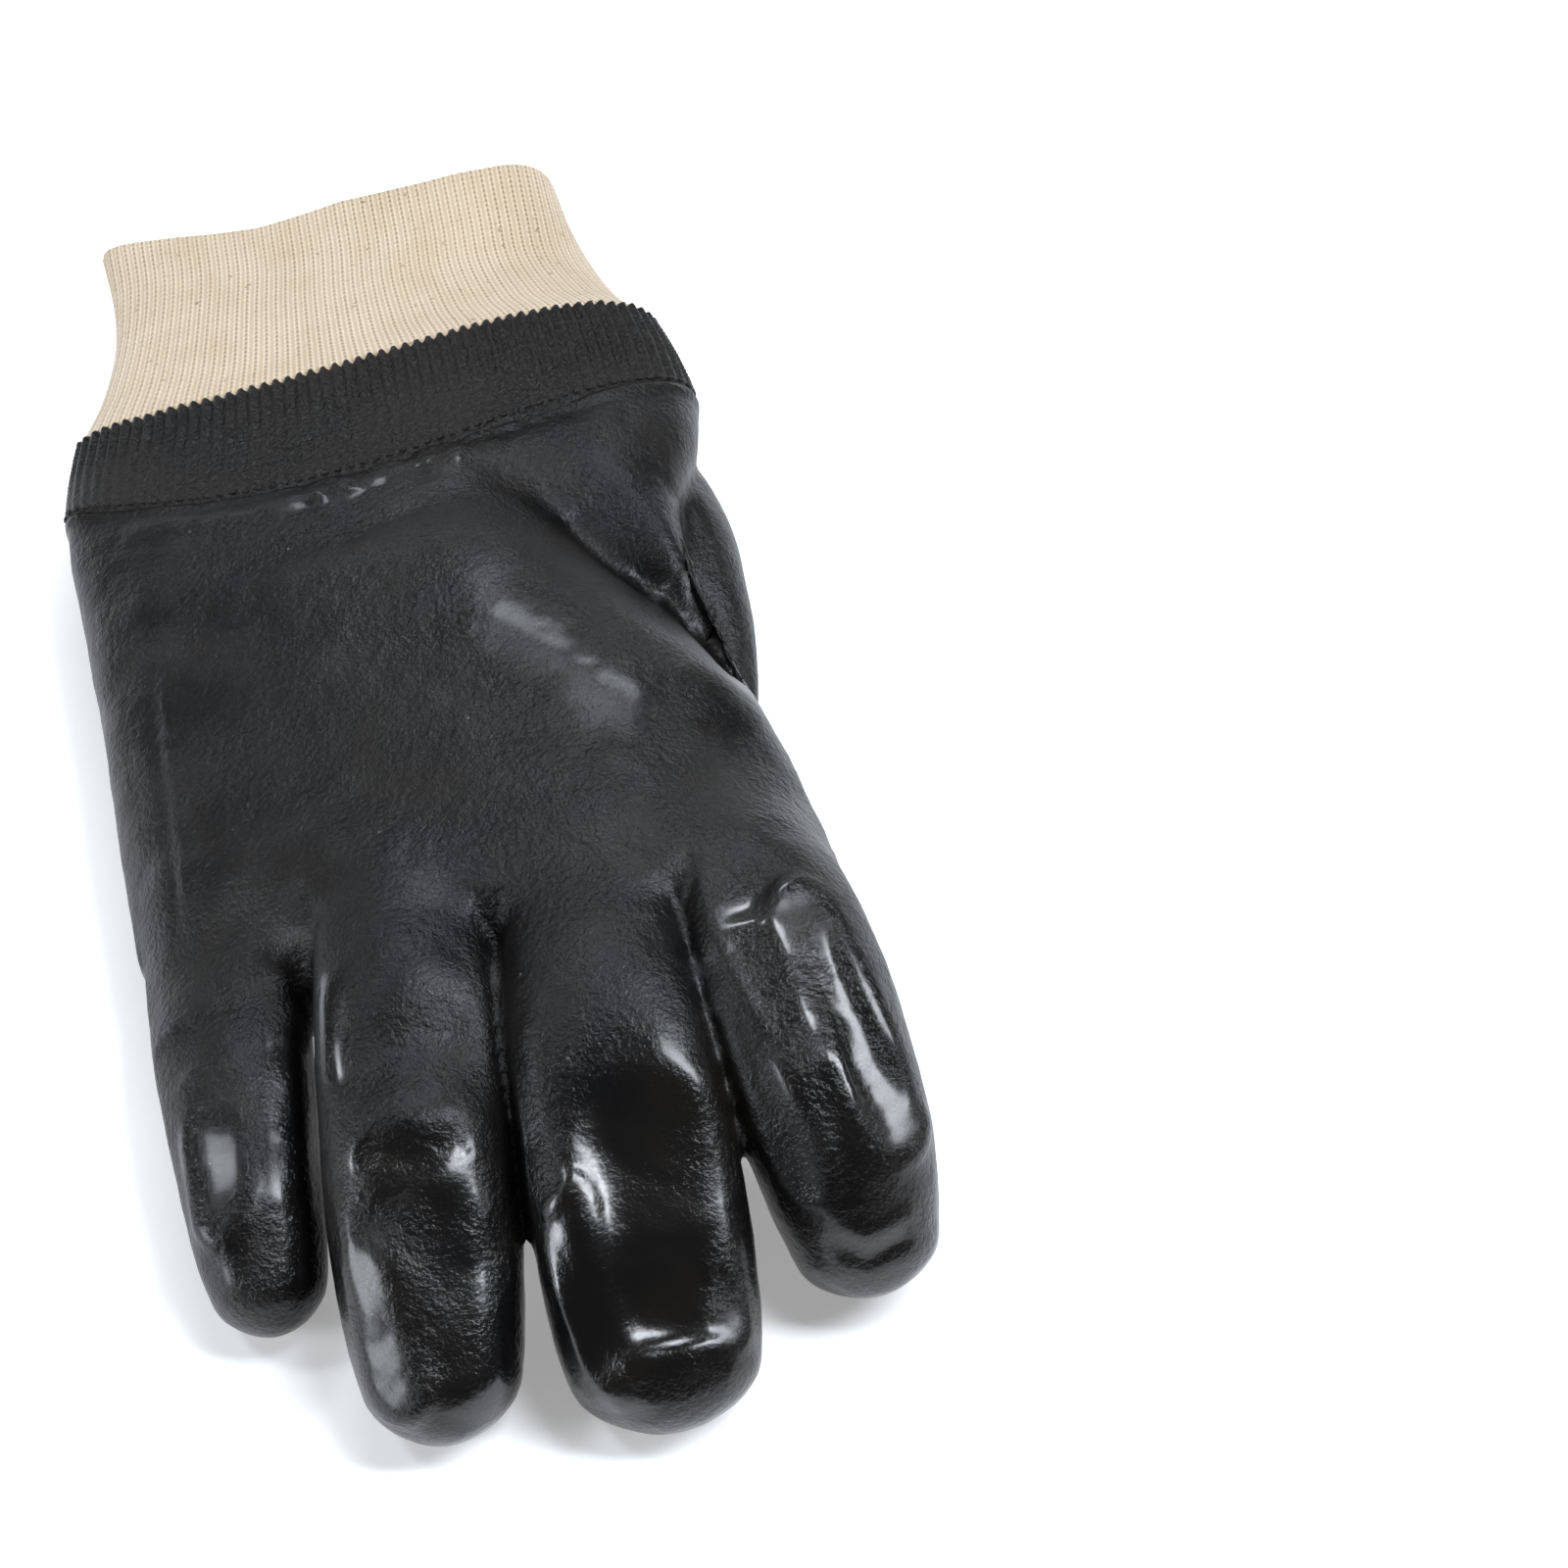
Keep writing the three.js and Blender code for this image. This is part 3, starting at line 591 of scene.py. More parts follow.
# The dipped skin is never quite even: slow swells, then the cloth's lumps under the coating.
normal = normals_of(skin_points, skin_quads)
relief = (0.22 * ripple(skin_points, 30, 3) + 0.07 * ripple(skin_points, 10, 4)
          + 0.03 * ripple(skin_points, 4.2, 5))
skin_points = skin_points + normal * relief[:, None]
skin_points = smoothed(skin_points, skin_edges, 1)
WELT_LIFT, WELT_BELOW = 0.55, 1.3  # the low swelling just below the wrist seam
welt = WELT_LIFT * np.exp(-((above_seam(skin_points) + WELT_BELOW) ** 2))
skin_points = skin_points + normals_of(skin_points, skin_quads) * welt[:, None]
skin_points[:, 2] = np.maximum(skin_points[:, 2], 0.02)


def point_values(mesh, name, values):
    """Writes one number for each point of a mesh."""
    layer = mesh.attributes.new(name, "FLOAT", "POINT")
    layer.data.foreach_set("value", np.asarray(values, np.float32).ravel())


def trimmed(points, quads):
    """Keeps what lies on the hand's side of the seam and draws the cut edge onto the seam.

    Returns the kept points, their faces and which of the given points they were."""
    beyond = above_seam(points)
    kept = quads[(beyond[quads] < 0).any(axis=1)]
    kept = kept[(beyond[kept] < 1.6).all(axis=1)]
    over = beyond > 0
    points = points.copy()
    points[over, 1] -= beyond[over]
    used = np.unique(kept)
    renumber = np.full(len(points), -1)
    renumber[used] = np.arange(len(used))
    return points[used], renumber[kept], used


# Where the coating dried wet and glossy, and where it wrinkled over the cloth, again along lines
# of photograph pixels. wide is in millimetres; gloss and crinkle run from 0 to 1.
FINISH = table(
    "wide gloss crinkle line",
    (5.6, 0.8, 0.7, [(812, 922), (862, 1020), (924, 1152)]),
    (6.0, 0.9, 0.25, [(770, 930), (800, 1010), (840, 1110)]),
    (9.0, 0.6, 0.25, [(880, 1210), (895, 1290)]),
    (14.0, 1.0, 0.04, [(655, 1150), (655, 1230), (668, 1330)]),
    (7.0, 1.0, 0.15, [(600, 1240), (600, 1330), (640, 1420)]),
    (4.0, 0.8, 0.8, [(740, 1290), (745, 1345)]),
    (7.0, 0.55, 0.6, [(372, 1290), (388, 1370), (410, 1440)]),
    (3.4, 0.9, 0.7, [(370, 1178), (420, 1186), (465, 1176)]),
    (8.0, 0.9, 0.1, [(470, 1240), (500, 1340), (490, 1420)]),
    (6.0, 0.55, 0.5, [(205, 1170), (225, 1200), (240, 1215)]),
    (6.0, 0.4, 0.5, [(215, 1250), (240, 1310)]),
    (5.0, 0.9, 0.1, [(300, 1080), (306, 1180), (300, 1290)]),
    (3.5, 0.8, 0.1, [(330, 1010), (345, 1090)]),
    (2.8, 0.5, 1.0, [(290, 520), (380, 492), (500, 454)]),
    (3.0, 0.3, 0.6, [(180, 535), (290, 522)]),
    (14.0, 0.33, 0.55, [(380, 590), (480, 625), (580, 665), (680, 735), (750, 800)]),
    (3.0, 0.48, 1.0, [(515, 622), (560, 645), (600, 668)]),
    (2.4, 0.44, 1.0, [(620, 690), (665, 715)]),
    (4.0, 0.35, 0.15, [(640, 560), (720, 650), (757, 700)]),
    (10.0, 0.1, 0.6, [(160, 600), (200, 640), (180, 760)]),
    (8.0, 0.1, 0.6, [(185, 850), (260, 880)]),
    (16.0, 0.0, 0.35, [(280, 700), (420, 640), (520, 560)]))
TIP_GLOSS, PLAIN_CRINKLE = 0.55, 0.36
cover = skin_cover(skin_points, skin_quads)
gloss_paint = TIP_GLOSS * ease(-55, -85, skin_points[:, 1])
crinkle_paint = np.full(len(skin_points), PLAIN_CRINKLE)
for mark in FINISH:
    nearest = np.full(len(skin_points), 1e9)
    for hit in cast_line(cover, mark["line"], 9)[0]:
        nearest = np.minimum(nearest, np.linalg.norm(skin_points - np.array(hit), axis=1))
    share = np.exp(-((nearest / mark["wide"]) ** 4))
    gloss_paint = np.maximum(gloss_paint, mark["gloss"] * share)
    crinkle_paint += (mark["crinkle"] - crinkle_paint) * share

# The jersey inside the coating: the same skins drawn in by the wall, moved by the same dents.
lining_points, lining_quads = fused("lining_fused", glove_skins(110, 60, 48, 50, COAT_WALL), LINING_GRAIN)
lining_edges = edges_of(lining_quads)
lining_points = smoothed(lining_points, lining_edges, 3)
near = near_tree(plain_points)
carried = skin_points - plain_points
shift = np.array([carried[[k for _, k, _ in near.find_n(spot, 3)]].mean(0) for spot in lining_points])
lining_points = lining_points + averaged(shift, lining_edges, len(shift))
lining_points[:, 2] = np.maximum(lining_points[:, 2], COAT_WALL * 0.8)


def depth_in(spot):
    """A spot's height over the outer skin, less than 0 inside it, with the skin there."""
    foot, out, _, _ = cover.find_nearest(spot)
    return (Vector(spot) - foot).dot(out), foot, out


LEAST_WALL, SOAKED_WALL = 1.0, 0.8
drawn_in = np.zeros(len(lining_points), bool)
for k, spot in enumerate(lining_points):
    height, foot, out = depth_in(spot)
    if height > -LEAST_WALL:
        lining_points[k] = foot - out * LEAST_WALL
        drawn_in[k] = True

outer_points, outer_quads, outer_used = trimmed(skin_points, skin_quads)
inner_points, inner_quads, inner_used = trimmed(lining_points, lining_quads)
# Deep in the forks the coating has soaked through the jersey, so those faces of it are black too.
soaked_through = drawn_in[inner_used][inner_quads].any(axis=1)
for k, spot in enumerate(inner_points[inner_quads].mean(axis=1)):
    soaked_through[k] |= depth_in(spot)[0] > -SOAKED_WALL
hand = mesh_object("hand_skin", to_row(np.concatenate([outer_points, inner_points])),
                   outer_quads.tolist() + (inner_quads[:, ::-1] + len(outer_points)).tolist())
hand.data.polygons.foreach_set(
    "material_index", np.concatenate([np.zeros(len(outer_quads), int), 1 - soaked_through.astype(int)]))
for label, paint in (("gloss", gloss_paint), ("crinkle", crinkle_paint)):
    point_values(hand.data, label, np.concatenate([paint[outer_used], np.zeros(len(inner_points))]))
shape = bmesh.new()
shape.from_mesh(hand.data)
bmesh.ops.bridge_loops(shape, edges=[e for e in shape.edges if len(e.link_faces) == 1])
shape.to_mesh(hand.data)
shape.free()
for face in hand.data.polygons:
    face.use_smooth = True


def feed(tree, made, values):
    """Sets a node's inputs by name: a socket is linked, anything else is a plain value."""
    for label, value in values.items():
        if isinstance(value, bpy.types.NodeSocket):
            tree.links.new(value, made.inputs[label])
        else:
            made.inputs[label].default_value = value


def node(tree, kind, feeds=None, **settings):
    """A node with its settings made first and its inputs fed after them."""
    made = tree.nodes.new(kind)
    for name, value in settings.items():
        setattr(made, name, value)
    feed(tree, made, feeds or {})
    return made


def new_tree(name, kind, inputs, outputs):
    """A node group: itself, its inputs' identifiers by name, and its two ends."""
    tree = bpy.data.node_groups.new(name, kind)
    names = {}
    for label, socket in inputs.items():
        made = tree.interface.new_socket(label, in_out="INPUT", socket_type="NodeSocket" + socket)
        names[label] = made.identifier
    for label, socket in outputs.items():
        tree.interface.new_socket(label, in_out="OUTPUT", socket_type="NodeSocket" + socket)
    return tree, names, tree.nodes.new("NodeGroupInput").outputs, tree.nodes.new("NodeGroupOutput")


def calc(tree, operation, a, b=None, clamp=False):
    feeds = {0: a} if b is None else {0: a, 1: b}
    return node(tree, "ShaderNodeMath", feeds, operation=operation, use_clamp=clamp).outputs[0]


def noise(tree, vector, scale, detail=3.0, roughness=0.55, distortion=0.0):
    feeds = {"Vector": vector, "Scale": scale, "Detail": detail, "Roughness": roughness,
             "Distortion": distortion}
    return node(tree, "ShaderNodeTexNoise", feeds).outputs["Fac"]


def remap(tree, value, low, high, to_low=0.0, to_high=1.0):
    feeds = {"Value": value, "From Min": low, "From Max": high, "To Min": to_low, "To Max": to_high}
    return node(tree, "ShaderNodeMapRange", feeds, clamp=True).outputs["Result"]


def mix(tree, a, b, factor, blend="MIX"):
    """A colour between a and b."""
    feeds = {"A": a, "B": b, "Factor": factor}
    return node(tree, "ShaderNodeMix", feeds, data_type="RGBA", blend_type=blend).outputs["Result"]


def bump(tree, height, distance, strength=1.0, over=None):
    """Relief of a height in metres, laid over another bump's normal."""
    feeds = {"Height": height, "Distance": distance, "Strength": strength}
    if over is not None:
        feeds["Normal"] = over
    return node(tree, "ShaderNodeBump", feeds).outputs["Normal"]


def times(tree, a, b):
    return calc(tree, "MULTIPLY", a, b)


def new_material(name):
    made = bpy.data.materials.new(name)
    made.use_nodes = True
    return made, made.node_tree, made.node_tree.nodes["Principled BSDF"]


def object_place(tree):
    return node(tree, "ShaderNodeTexCoord").outputs["Object"]


# Cloth under the coating: the jersey's loops print through the PVC as fine uneven pebbles.
cloth_print, _, given, given_back = new_tree(
    "cloth_print", "ShaderNodeTree", {"Vector": "Vector", "Pebble Scale": "Float", "Loop Scale": "Float"},
    {"Height": "Float", "Patch": "Float", "Specks": "Float"})
pebble = noise(cloth_print, given["Vector"], given["Pebble Scale"], 4.0, 0.62, 0.6)
loops = node(cloth_print, "ShaderNodeTexVoronoi",
             {"Vector": given["Vector"], "Scale": given["Loop Scale"]}, feature="SMOOTH_F1")
patch = noise(cloth_print, given["Vector"], 48.0, 3.0, 0.6, 0.4)
dots = node(cloth_print, "ShaderNodeTexVoronoi", {"Vector": given["Vector"], "Scale": 120.0}, feature="F1")
feed(cloth_print, given_back, {
    "Height": calc(cloth_print, "ADD", pebble,
                   times(cloth_print, loops.outputs["Distance"], 0.35)),
    "Patch": remap(cloth_print, patch, 0.36, 0.66),
    "Specks": remap(cloth_print, dots.outputs["Distance"], 0.022, 0.04, 1.0, 0.0)})


def cloth_grain(tree, place, pebbles, loops):
    """The cloth's print on a coating: its Height, Patch and Specks outputs."""
    feeds = {"Vector": place, "Pebble Scale": pebbles, "Loop Scale": loops}
    return node(tree, "ShaderNodeGroup", feeds, node_tree=cloth_print).outputs


coating, tree, shader = new_material("glossy_pvc")
place = object_place(tree)
gloss = node(tree, "ShaderNodeAttribute", attribute_name="gloss").outputs["Fac"]
crinkle = node(tree, "ShaderNodeAttribute", attribute_name="crinkle").outputs["Fac"]
grain = cloth_grain(tree, place, 1500.0, 2400.0)
tone = mix(tree, (0.0019, 0.0020, 0.0024, 1), (0.0058, 0.0048, 0.0037, 1), grain["Patch"])
speckled = mix(tree, tone, (0.10, 0.095, 0.085, 1), times(tree, grain["Specks"], 0.7))
satin = calc(tree, "ADD", remap(tree, grain["Patch"], 0, 1, -0.04, 0.05),
             remap(tree, gloss, 0, 1, 0.36, 0.16))
# Three sizes of relief: wrinkles of a few millimetres, the cloth's lumps, which come and go in
# blotches, and fine leathery grain.
wave = noise(tree, place, 300.0, 3.0, 0.5, 0.6)
wrinkled = bump(tree, times(tree, wave, remap(tree, crinkle, 0, 1, 0.12, 1.0)), 0.0006)
blotch = remap(tree, noise(tree, place, 62.0, 2.0), 0.38, 0.62, 0.35, 1.5)
lump_height = times(tree, remap(tree, crinkle, 0, 1, 0.10, 1.0), blotch)
lump = noise(tree, place, 980.0, 3.0, 0.6, 0.0)
lumpy = bump(tree, times(tree, lump, lump_height), 0.0009, over=wrinkled)
leather = times(tree, grain["Height"], remap(tree, gloss, 0, 1, 1.0, 0.4))
feed(tree, shader, {
    "Base Color": speckled, "Roughness": satin, "IOR": 1.5, "Specular IOR Level": 0.26,
    "Coat Weight": remap(tree, gloss, 0.28, 0.9, 0.0, 0.8), "Coat Roughness": 0.18,
    "Normal": bump(tree, leather, 0.00012, over=lumpy)})

lining, tree, shader = new_material("jersey_lining")
place = object_place(tree)
feed(tree, shader, {
    "Base Color": mix(tree, (0.52, 0.44, 0.33, 1), (0.66, 0.58, 0.46, 1), noise(tree, place, 420.0, 4.0)),
    "Roughness": 0.95,
    "Normal": bump(tree, noise(tree, place, 1400.0, 3.0), 0.0006, 0.5)})

hand.data.materials.append(coating)
hand.data.materials.append(lining)
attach(hand, "root")
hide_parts("coated_hand")

# The knitted wrist. Natural cotton in a one-by-one rib, folded double at the mouth and sewn to the
# jersey; below the coated band it is the same ribs, soaked. Both pieces are one run of ribs.
RIBS, RIB_POINTS = 112, 6
COURSE = 1.15  # the height of one row of stitches
TOOTH_BLUNTNESS, TOOTH_UNEVEN = 0.35, 0.2
# The folded mouth edge is not straight: its rise in millimetres at shares of the width.
MOUTH_WAVE = [(0.0, 0.0), (0.2, 0.3), (0.34, -0.5), (0.486, 0.9), (0.63, -1.1), (0.743, -1.7),
              (0.857, -0.6), (1.0, 0.6)]


def even_rings(ys, count, inset):
    """Body rings with their points spread evenly by length, so that ribs keep one pitch."""
    rings = body_rings(ys, np.linspace(0, 2 * np.pi, 721), inset)
    made = np.empty((len(ys), count, 3))
    for r, ring in enumerate(rings):
        gone = run_along(ring)
        want = np.arange(count) / count * gone[-1]
        for k in range(3):
            made[r, :, k] = np.interp(want, gone, ring[:, k])
    return made


def knit_sleeve(name, low, high, tooth, outset, sunk_rows, top_fold, steps, inner_steps, folded):
    """A closed ribbed sleeve from one height to another, with UVs that count ribs and courses.

    Its lowest sunk_rows millimetres lie under the next piece. A folded sleeve is as thick at its
    mouth as elsewhere; the other ends in a thin edge with a tooth on each rib."""
    count = RIBS * RIB_POINTS
    phase = np.arange(count) / RIB_POINTS
    ridge = (0.5 + 0.5 * np.cos(2 * np.pi * phase)) ** TOOTH_BLUNTNESS
    jag = np.random.default_rng(11).uniform(-TOOTH_UNEVEN, TOOTH_UNEVEN, RIBS)
    share = np.linspace(0, 1, steps)
    ys = low + (high - low) * share
    outer = even_rings(ys, count, -outset)
    sunk = ease(sunk_rows + 0.8, sunk_rows - 0.8, (high - low) * share)[:, None, None]
    outer = outer * (1 - sunk) + even_rings(ys, count, 1.1 if folded else 0.5) * sunk
    inner_ys = low + (high - low) * np.linspace(1, 0, inner_steps)
    inner = even_rings(inner_ys, count, KNIT_WALL)
    if not folded:  # the coating ends inside the folded knit, so its upper edge is thin
        thin = ease(high - 4.8, high - 3.8, inner_ys)[:, None, None]
        inner = inner * (1 - thin) + even_rings(inner_ys, count, 0.7) * thin
    teeth = tooth * (ridge - 0.5 + np.repeat(jag, RIB_POINTS))
    outer[:, :, 1] += teeth[None, :] * np.clip(share * 4 - 3, 0, 1)[:, None]
    fold = []
    for turn in np.radians(top_fold):
        part = (1 - math.cos(turn)) / 2
        rise = np.array([0, math.sin(turn) * (KNIT_WALL + outset) * 0.42, 0])
        fold.append(outer[-1] * (1 - part) + inner[0] * part + rise)
    rows = np.concatenate([outer, np.array(fold).reshape(-1, count, 3), inner])
    rows[:, :, 2] = np.maximum(rows[:, :, 2], 0.05)
    if folded:
        across = (rows[:, :, 0] - rows[:, :, 0].min()) / np.ptp(rows[:, :, 0])
        lifted = ease(low + 0.35 * (high - low), high, rows[:, :, 1])
        rows[:, :, 1] += np.interp(across, *np.array(MOUTH_WAVE).T) * lifted
    total = len(rows)
    pairs = [(a, (a + 1) % count) for a in range(count)]
    run = np.cumsum(np.concatenate([[0], np.linalg.norm(np.diff(rows, axis=0), axis=2).mean(1)])) / COURSE
    faces, uvs = [], []
    for r in range(total):
        s = (r + 1) % total
        v0, v1 = run[r], run[s] if s else run[r] + 1
        for a, b in pairs:
            faces.append((r * count + a, s * count + a, s * count + b, r * count + b))
            u0, u1 = a / RIB_POINTS, (a + 1) / RIB_POINTS
            uvs += [(u0, v0), (u0, v1), (u1, v1), (u1, v0)]
    made = mesh_object(name, to_row(rows.reshape(-1, 3)), faces)
    layer = made.data.uv_layers.new(name="knit")
    layer.data.foreach_set("uv", np.array(uvs, np.float32).ravel())
    grown = 1.0 if folded else 0.3 + 0.7 * ease(low, low + 0.5 * (high - low), rows[:, :, 1])
    point_values(made.data, "rib", np.tile(phase, total))
    point_values(made.data, "relief", np.ones((total, count)) * grown)
    point_values(made.data, "course", np.repeat(run, count))
    for face in made.data.polygons:
        face.use_smooth = True
    return made


def end_tree(tree, geometry, material, given_back):
    real = node(tree, "GeometryNodeRealizeInstances", {"Geometry": geometry})
    feeds = {"Geometry": real.outputs["Geometry"], "Material": material}
    paint = node(tree, "GeometryNodeSetMaterial", feeds)
    feed(tree, given_back, {"Geometry": paint.outputs["Geometry"]})


def rib_tree():
    """Geometry nodes that raise the ribs and the stitches in each rib along the surface normal."""
    tree, names, given, given_back = new_tree(
        "raise_ribs", "GeometryNodeTree",
        {"Geometry": "Geometry", "Rib Depth": "Float", "Stitch Depth": "Float", "Wander": "Float",
         "Cloth": "Material"}, {"Geometry": "Geometry"})

    def named(label):
        return node(tree, "GeometryNodeInputNamedAttribute", {"Name": label},
                    data_type="FLOAT").outputs["Attribute"]

    def add(operation, a, b=None):
        return calc(tree, operation, a, b)

    uneven = node(tree, "ShaderNodeTexNoise", {"Scale": 160.0, "Detail": 1.0}).outputs["Fac"]
    swing = add("MULTIPLY", add("SUBTRACT", uneven, 0.5), given["Wander"])
    turn = add("MULTIPLY", add("ADD", named("rib"), swing), 2 * math.pi)
    ridge = add("MULTIPLY", add("ADD", add("COSINE", turn), -0.2), 0.5)
    side = add("ABSOLUTE", add("SINE", add("MULTIPLY", turn, 0.5)))
    stitch = add("COSINE", add("MULTIPLY", add("ADD", named("course"), add("MULTIPLY", side, 0.45)),
                               2 * math.pi))
    lift = add("ADD", add("MULTIPLY", ridge, given["Rib Depth"]),
               add("MULTIPLY", stitch, given["Stitch Depth"]))
    lift = add("MULTIPLY", lift, named("relief"))
    outward = node(tree, "GeometryNodeInputNormal").outputs["Normal"]
    move = node(tree, "ShaderNodeVectorMath", operation="SCALE")
    feed(tree, move, {0: outward, "Scale": lift})
    place = node(tree, "GeometryNodeSetPosition",
                 {"Geometry": given["Geometry"], "Offset": move.outputs["Vector"]})
    end_tree(tree, place.outputs["Geometry"], given["Cloth"], given_back)
    return tree, names


def apply_tree(piece, tree, names, values):
    """Runs a geometry tree with its inputs set by identifier, and leaves a plain mesh."""
    step = piece.modifiers.new("tree", "NODES")
    step.node_group = tree
    for label, value in values.items():
        step[names[label]] = value
    done = bpy.data.meshes.new_from_object(piece.evaluated_get(bpy.context.evaluated_depsgraph_get()))
    piece.modifiers.clear()
    old = piece.data
    piece.data = done
    bpy.data.meshes.remove(old)


def bell(tree, value, middle, width):
    """1 where a value meets its middle, fading to 0 a width away on both sides."""
    away = calc(tree, "ABSOLUTE", calc(tree, "SUBTRACT", value, middle))
    return remap(tree, away, 0.0, width, 1.0, 0.0)


# Each rib shows two rows of V-shaped loops with a groove of small holes between them. Its colour carries
# painted shade: darker where the loops sink, darkest in the holes.
cotton, tree, shader = new_material("natural_cotton_rib")
place = object_place(tree)
knit_uv = node(tree, "ShaderNodeUVMap", uv_map="knit").outputs["UV"]
split = node(tree, "ShaderNodeSeparateXYZ", {"Vector": knit_uv}).outputs
across_rib = calc(tree, "FRACT", calc(tree, "ADD", split["X"], 0.5))
wale = calc(tree, "ADD", bell(tree, across_rib, 0.26, 0.19), bell(tree, across_rib, 0.74, 0.19), clamp=True)
lean = times(tree, calc(tree, "ABSOLUTE", calc(tree, "SUBTRACT", across_rib, 0.5)), 0.9)
stitch = bell(tree, calc(tree, "FRACT", calc(tree, "ADD", split["Y"], lean)), 0.5, 0.5)
groove = bell(tree, across_rib, 0.5, 0.15)
hole = times(tree, groove, remap(tree, stitch, 0.35, 0.65, 1.0, 0.0))
loop = times(tree, wale, remap(tree, stitch, 0, 1, 0.45, 1.0))
depth = calc(tree, "SUBTRACT", loop, times(tree, hole, 0.5))
# Painted shade: the yarn's colour darkens as the knit's relief sinks.
thread_painted_shade = mix(tree, (0.39, 0.30, 0.20, 1), (0.67, 0.555, 0.41, 1), remap(tree, depth, -0.2, 0.85))
mottle = remap(tree, noise(tree, place, 60.0, 2.0), 0.35, 0.65, 0.3, 0.9)
# Painted shade in the groove's holes, unevenly dark.
holes_painted_shade = mix(tree, thread_painted_shade, (0.20, 0.135, 0.075, 1), times(tree, hole, mottle))
shade = mix(tree, holes_painted_shade, (0.90, 0.87, 0.82, 1),
            remap(tree, noise(tree, place, 90.0, 4.0, 0.65), 0.4, 0.7), "MULTIPLY")
fleck = remap(tree, noise(tree, place, 760.0, 2.0, 0.5), 0.69, 0.75, 0.0, 0.75)
yarn = noise(tree, place, 2600.0, 3.0, 0.65)
yarn_height = calc(tree, "ADD", times(tree, depth, 0.8), times(tree, yarn, 0.5))
feed(tree, shader, {
    "Base Color": mix(tree, shade, (0.16, 0.10, 0.05, 1), fleck), "Roughness": 0.92,
    "Sheen Weight": 0.25, "Sheen Roughness": 0.5, "Normal": bump(tree, yarn_height, 0.0004, 0.7)})

ribs, rib_names = rib_tree()
band_up = SEAM_UP + BAND_LENGTH
cuff = knit_sleeve("knit_cuff", band_up - 3.0, band_up + CUFF_LENGTH, tooth=0, outset=0.0, sunk_rows=2.0,
                   top_fold=(30, 60, 90, 120, 150), steps=100, inner_steps=26, folded=True)
apply_tree(cuff, ribs, rib_names, {"Rib Depth": 0.00010, "Stitch Depth": 0.00004, "Wander": 0.14,
                                   "Cloth": cotton})
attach(cuff, "root")
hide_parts("knit_wrist")

# The coated band. The lowest part of the knit took up PVC: ribs thicker, duller and closer, with
# an edge that climbs each rib like a row of teeth.
soaked, tree, shader = new_material("soaked_rib")
place = object_place(tree)
grain = cloth_grain(tree, place, 900.0, 1700.0)
feed(tree, shader, {
    "Base Color": mix(tree, (0.0028, 0.0022, 0.0016, 1), (0.0080, 0.0062, 0.0044, 1), grain["Patch"]),
    "Roughness": remap(tree, grain["Patch"], 0, 1, 0.38, 0.56), "Specular IOR Level": 0.3,
    "Normal": bump(tree, grain["Height"], 0.0009, 0.8)})

band = knit_sleeve("coated_band", SEAM_UP - 1.2, band_up + 0.3, tooth=0.9, outset=0.5, sunk_rows=1.7,
                   top_fold=(45, 90, 135), steps=44, inner_steps=12, folded=False)
apply_tree(band, ribs, rib_names, {"Rib Depth": 0.00055, "Stitch Depth": 0.0001, "Wander": 0.12,
                                   "Cloth": soaked})


def stitch_tree():
    """Geometry nodes that lay a row of short stitches along a ring and join them to a piece."""
    tree, names, given, given_back = new_tree(
        "seam_stitches", "GeometryNodeTree",
        {"Geometry": "Geometry", "Ring": "Object", "Spacing": "Float", "Length": "Float",
         "Width": "Float", "Thread": "Material"}, {"Geometry": "Geometry"})
    ring = node(tree, "GeometryNodeObjectInfo", {"Object": given["Ring"]})
    path = node(tree, "GeometryNodeMeshToCurve", {"Mesh": ring.outputs["Geometry"]})
    spots = node(tree, "GeometryNodeCurveToPoints",
                 {"Curve": path.outputs["Curve"], "Length": given["Spacing"]}, mode="LENGTH")
    bead = node(tree, "GeometryNodeMeshIcoSphere", {"Radius": 0.5, "Subdivisions": 2})
    size = node(tree, "ShaderNodeCombineXYZ",
                {"X": given["Width"], "Y": given["Width"], "Z": given["Length"]})
    row = node(tree, "GeometryNodeInstanceOnPoints", {
        "Points": spots.outputs["Points"], "Rotation": spots.outputs["Rotation"],
        "Instance": bead.outputs["Mesh"], "Scale": size.outputs["Vector"]})
    both = node(tree, "GeometryNodeJoinGeometry", {"Geometry": given["Geometry"]})
    feed(tree, both, {"Geometry": row.outputs["Instances"]})
    end_tree(tree, both.outputs["Geometry"], given["Thread"], given_back)
    return tree, names


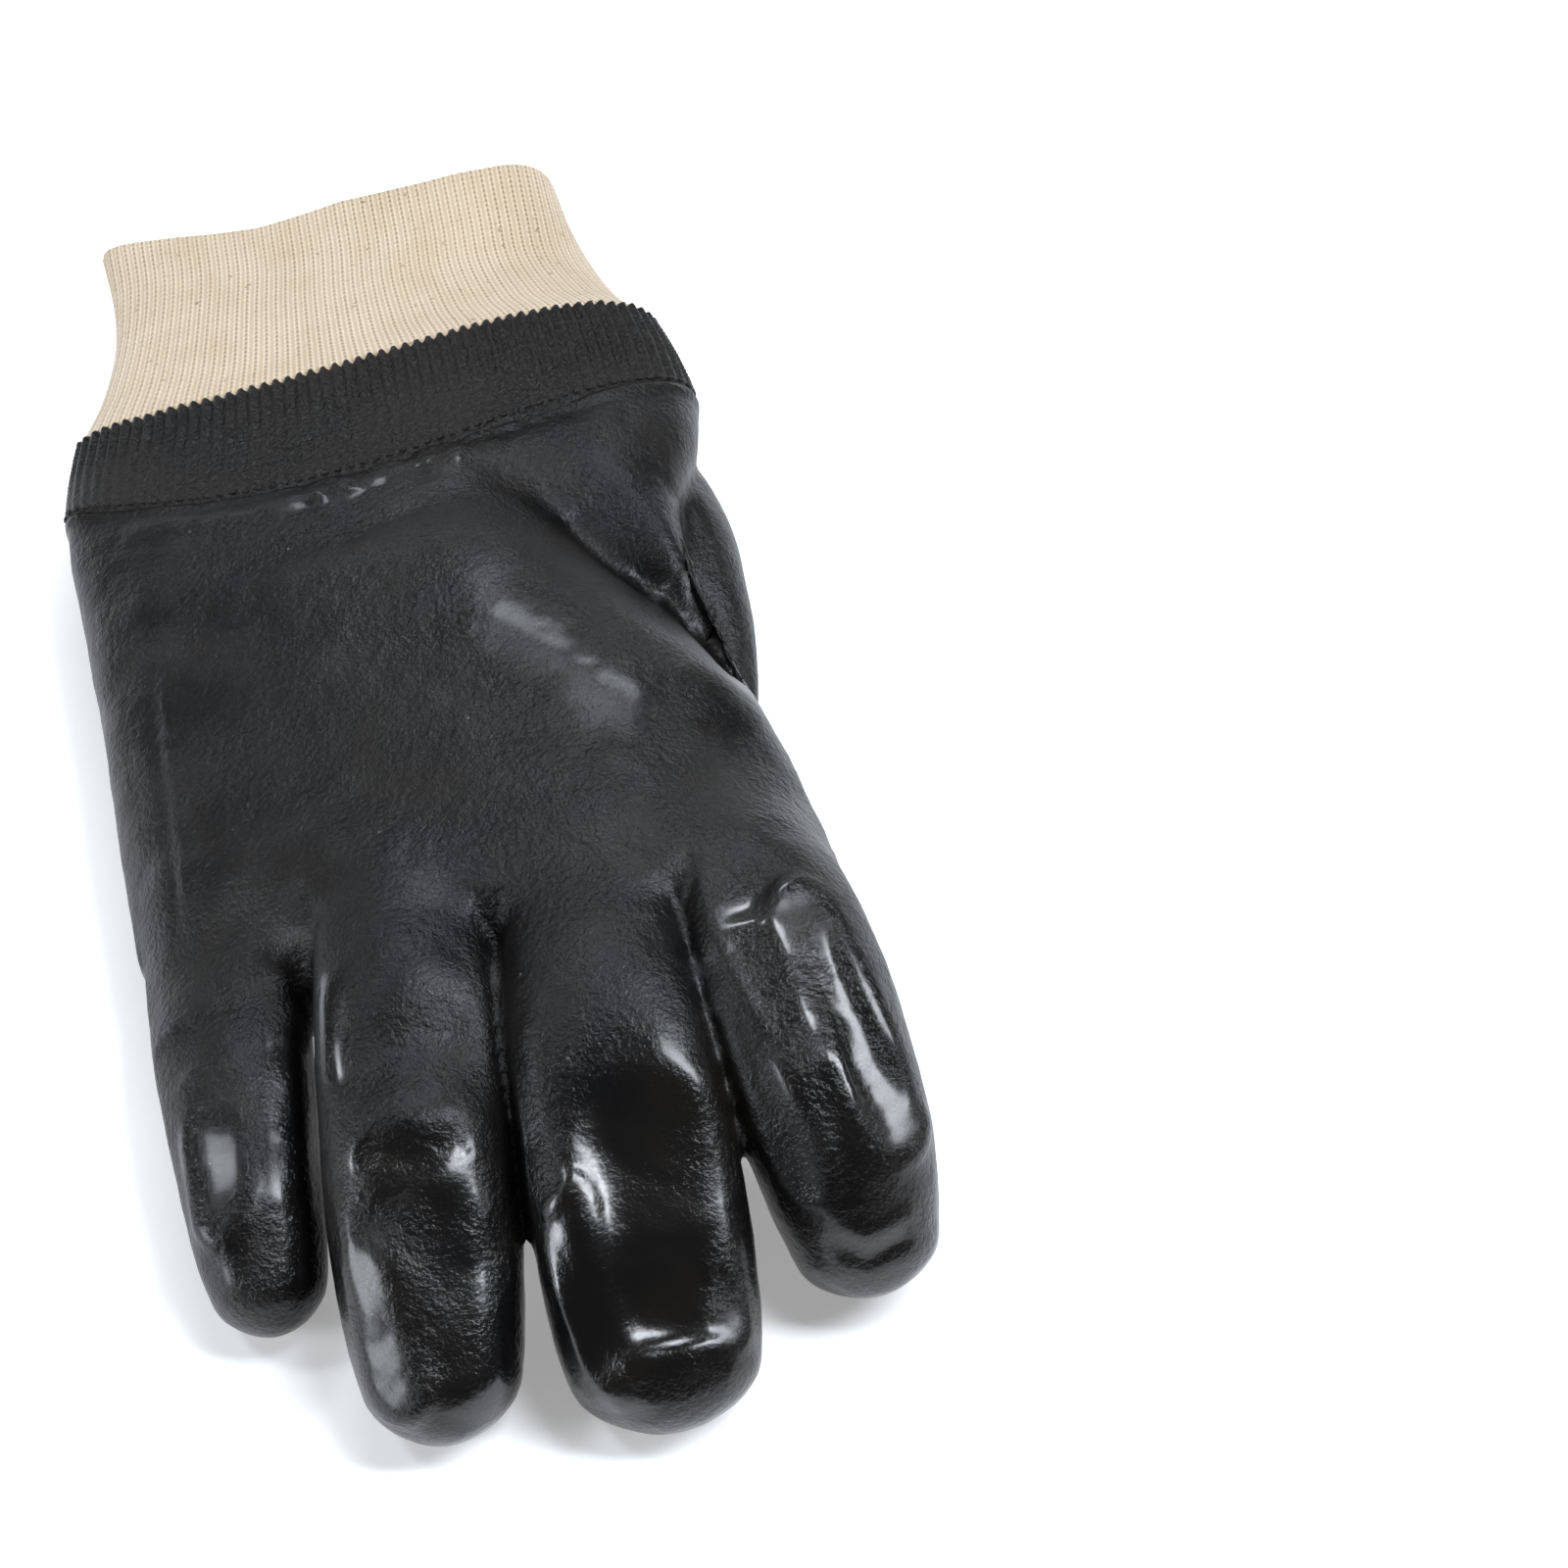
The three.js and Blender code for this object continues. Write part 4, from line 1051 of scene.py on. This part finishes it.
# The seam's stitches lie just past the seam, proud of the knit and clear of the floor.
RING_POINTS = 720
seam_ring = to_row(even_rings(np.array([SEAM_UP + 1.1]), RING_POINTS, -0.2)[0])
seam_ring[:, 2] = np.maximum(seam_ring[:, 2], 0.0006)
ring = mesh_object("seam_ring", seam_ring, (), [(k, (k + 1) % RING_POINTS) for k in range(RING_POINTS)])
bpy.context.view_layer.update()
stitches, stitch_names = stitch_tree()
apply_tree(band, stitches, stitch_names,
           {"Ring": ring, "Spacing": 0.0023, "Length": 0.0018, "Width": 0.0011, "Thread": soaked})
bpy.data.objects.remove(ring)
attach(band, "root")
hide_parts("dipped_band")

# The floor and the light: a pale sweep, a wide soft light behind, and soft boxes at both sides.
floor = mesh_object("floor", [(-3, -3, 0), (3, -3, 0), (3, 3, 0), (-3, 3, 0)], [(0, 1, 2, 3)])
paper, tree, shader = new_material("pale_paper")
feed(tree, shader, {"Base Color": (0.86, 0.86, 0.86, 1), "Roughness": 0.9,
                    "Emission Color": (1, 1, 1, 1), "Emission Strength": 0.32})
floor.data.materials.append(paper)

world = bpy.data.worlds.new("studio")
bpy.context.scene.world = world
world.use_nodes = True
feed(world.node_tree, world.node_tree.nodes["Background"], {"Color": (1, 1, 1, 1), "Strength": 0.07})
GLOVE_MIDDLE = Vector((0, -0.02, 0.02))


def soft_box(name, way, distance, wide, tall, power):
    """An area light that faces the glove from a direction: metres and watts."""
    data = bpy.data.lights.new(name, "AREA")
    data.shape = "RECTANGLE"
    data.size, data.size_y = wide, tall
    data.energy = power
    data.color = (0.88, 0.93, 1.0)
    way = Vector(way).normalized()
    aim(placed(name, data), way * distance + GLOVE_MIDDLE, -way)


soft_box("box_sheen", toward(4, 48), 1.2, 0.50, 0.24, 6.6)
soft_box("box_left_low", toward(-106, 18), 1.1, 0.36, 0.34, 7.6)
soft_box("box_right", toward(104, 57), 1.1, 0.30, 0.78, 16.0)
soft_box("box_pinky", toward(-74, 56), 1.1, 0.20, 0.20, 3.0)
soft_box("wall_back", toward(-5, 30), 1.9, 3.0, 1.3, 3.2)
bpy.context.scene.view_settings.view_transform = "Standard"

bpy.context.view_layer.update()
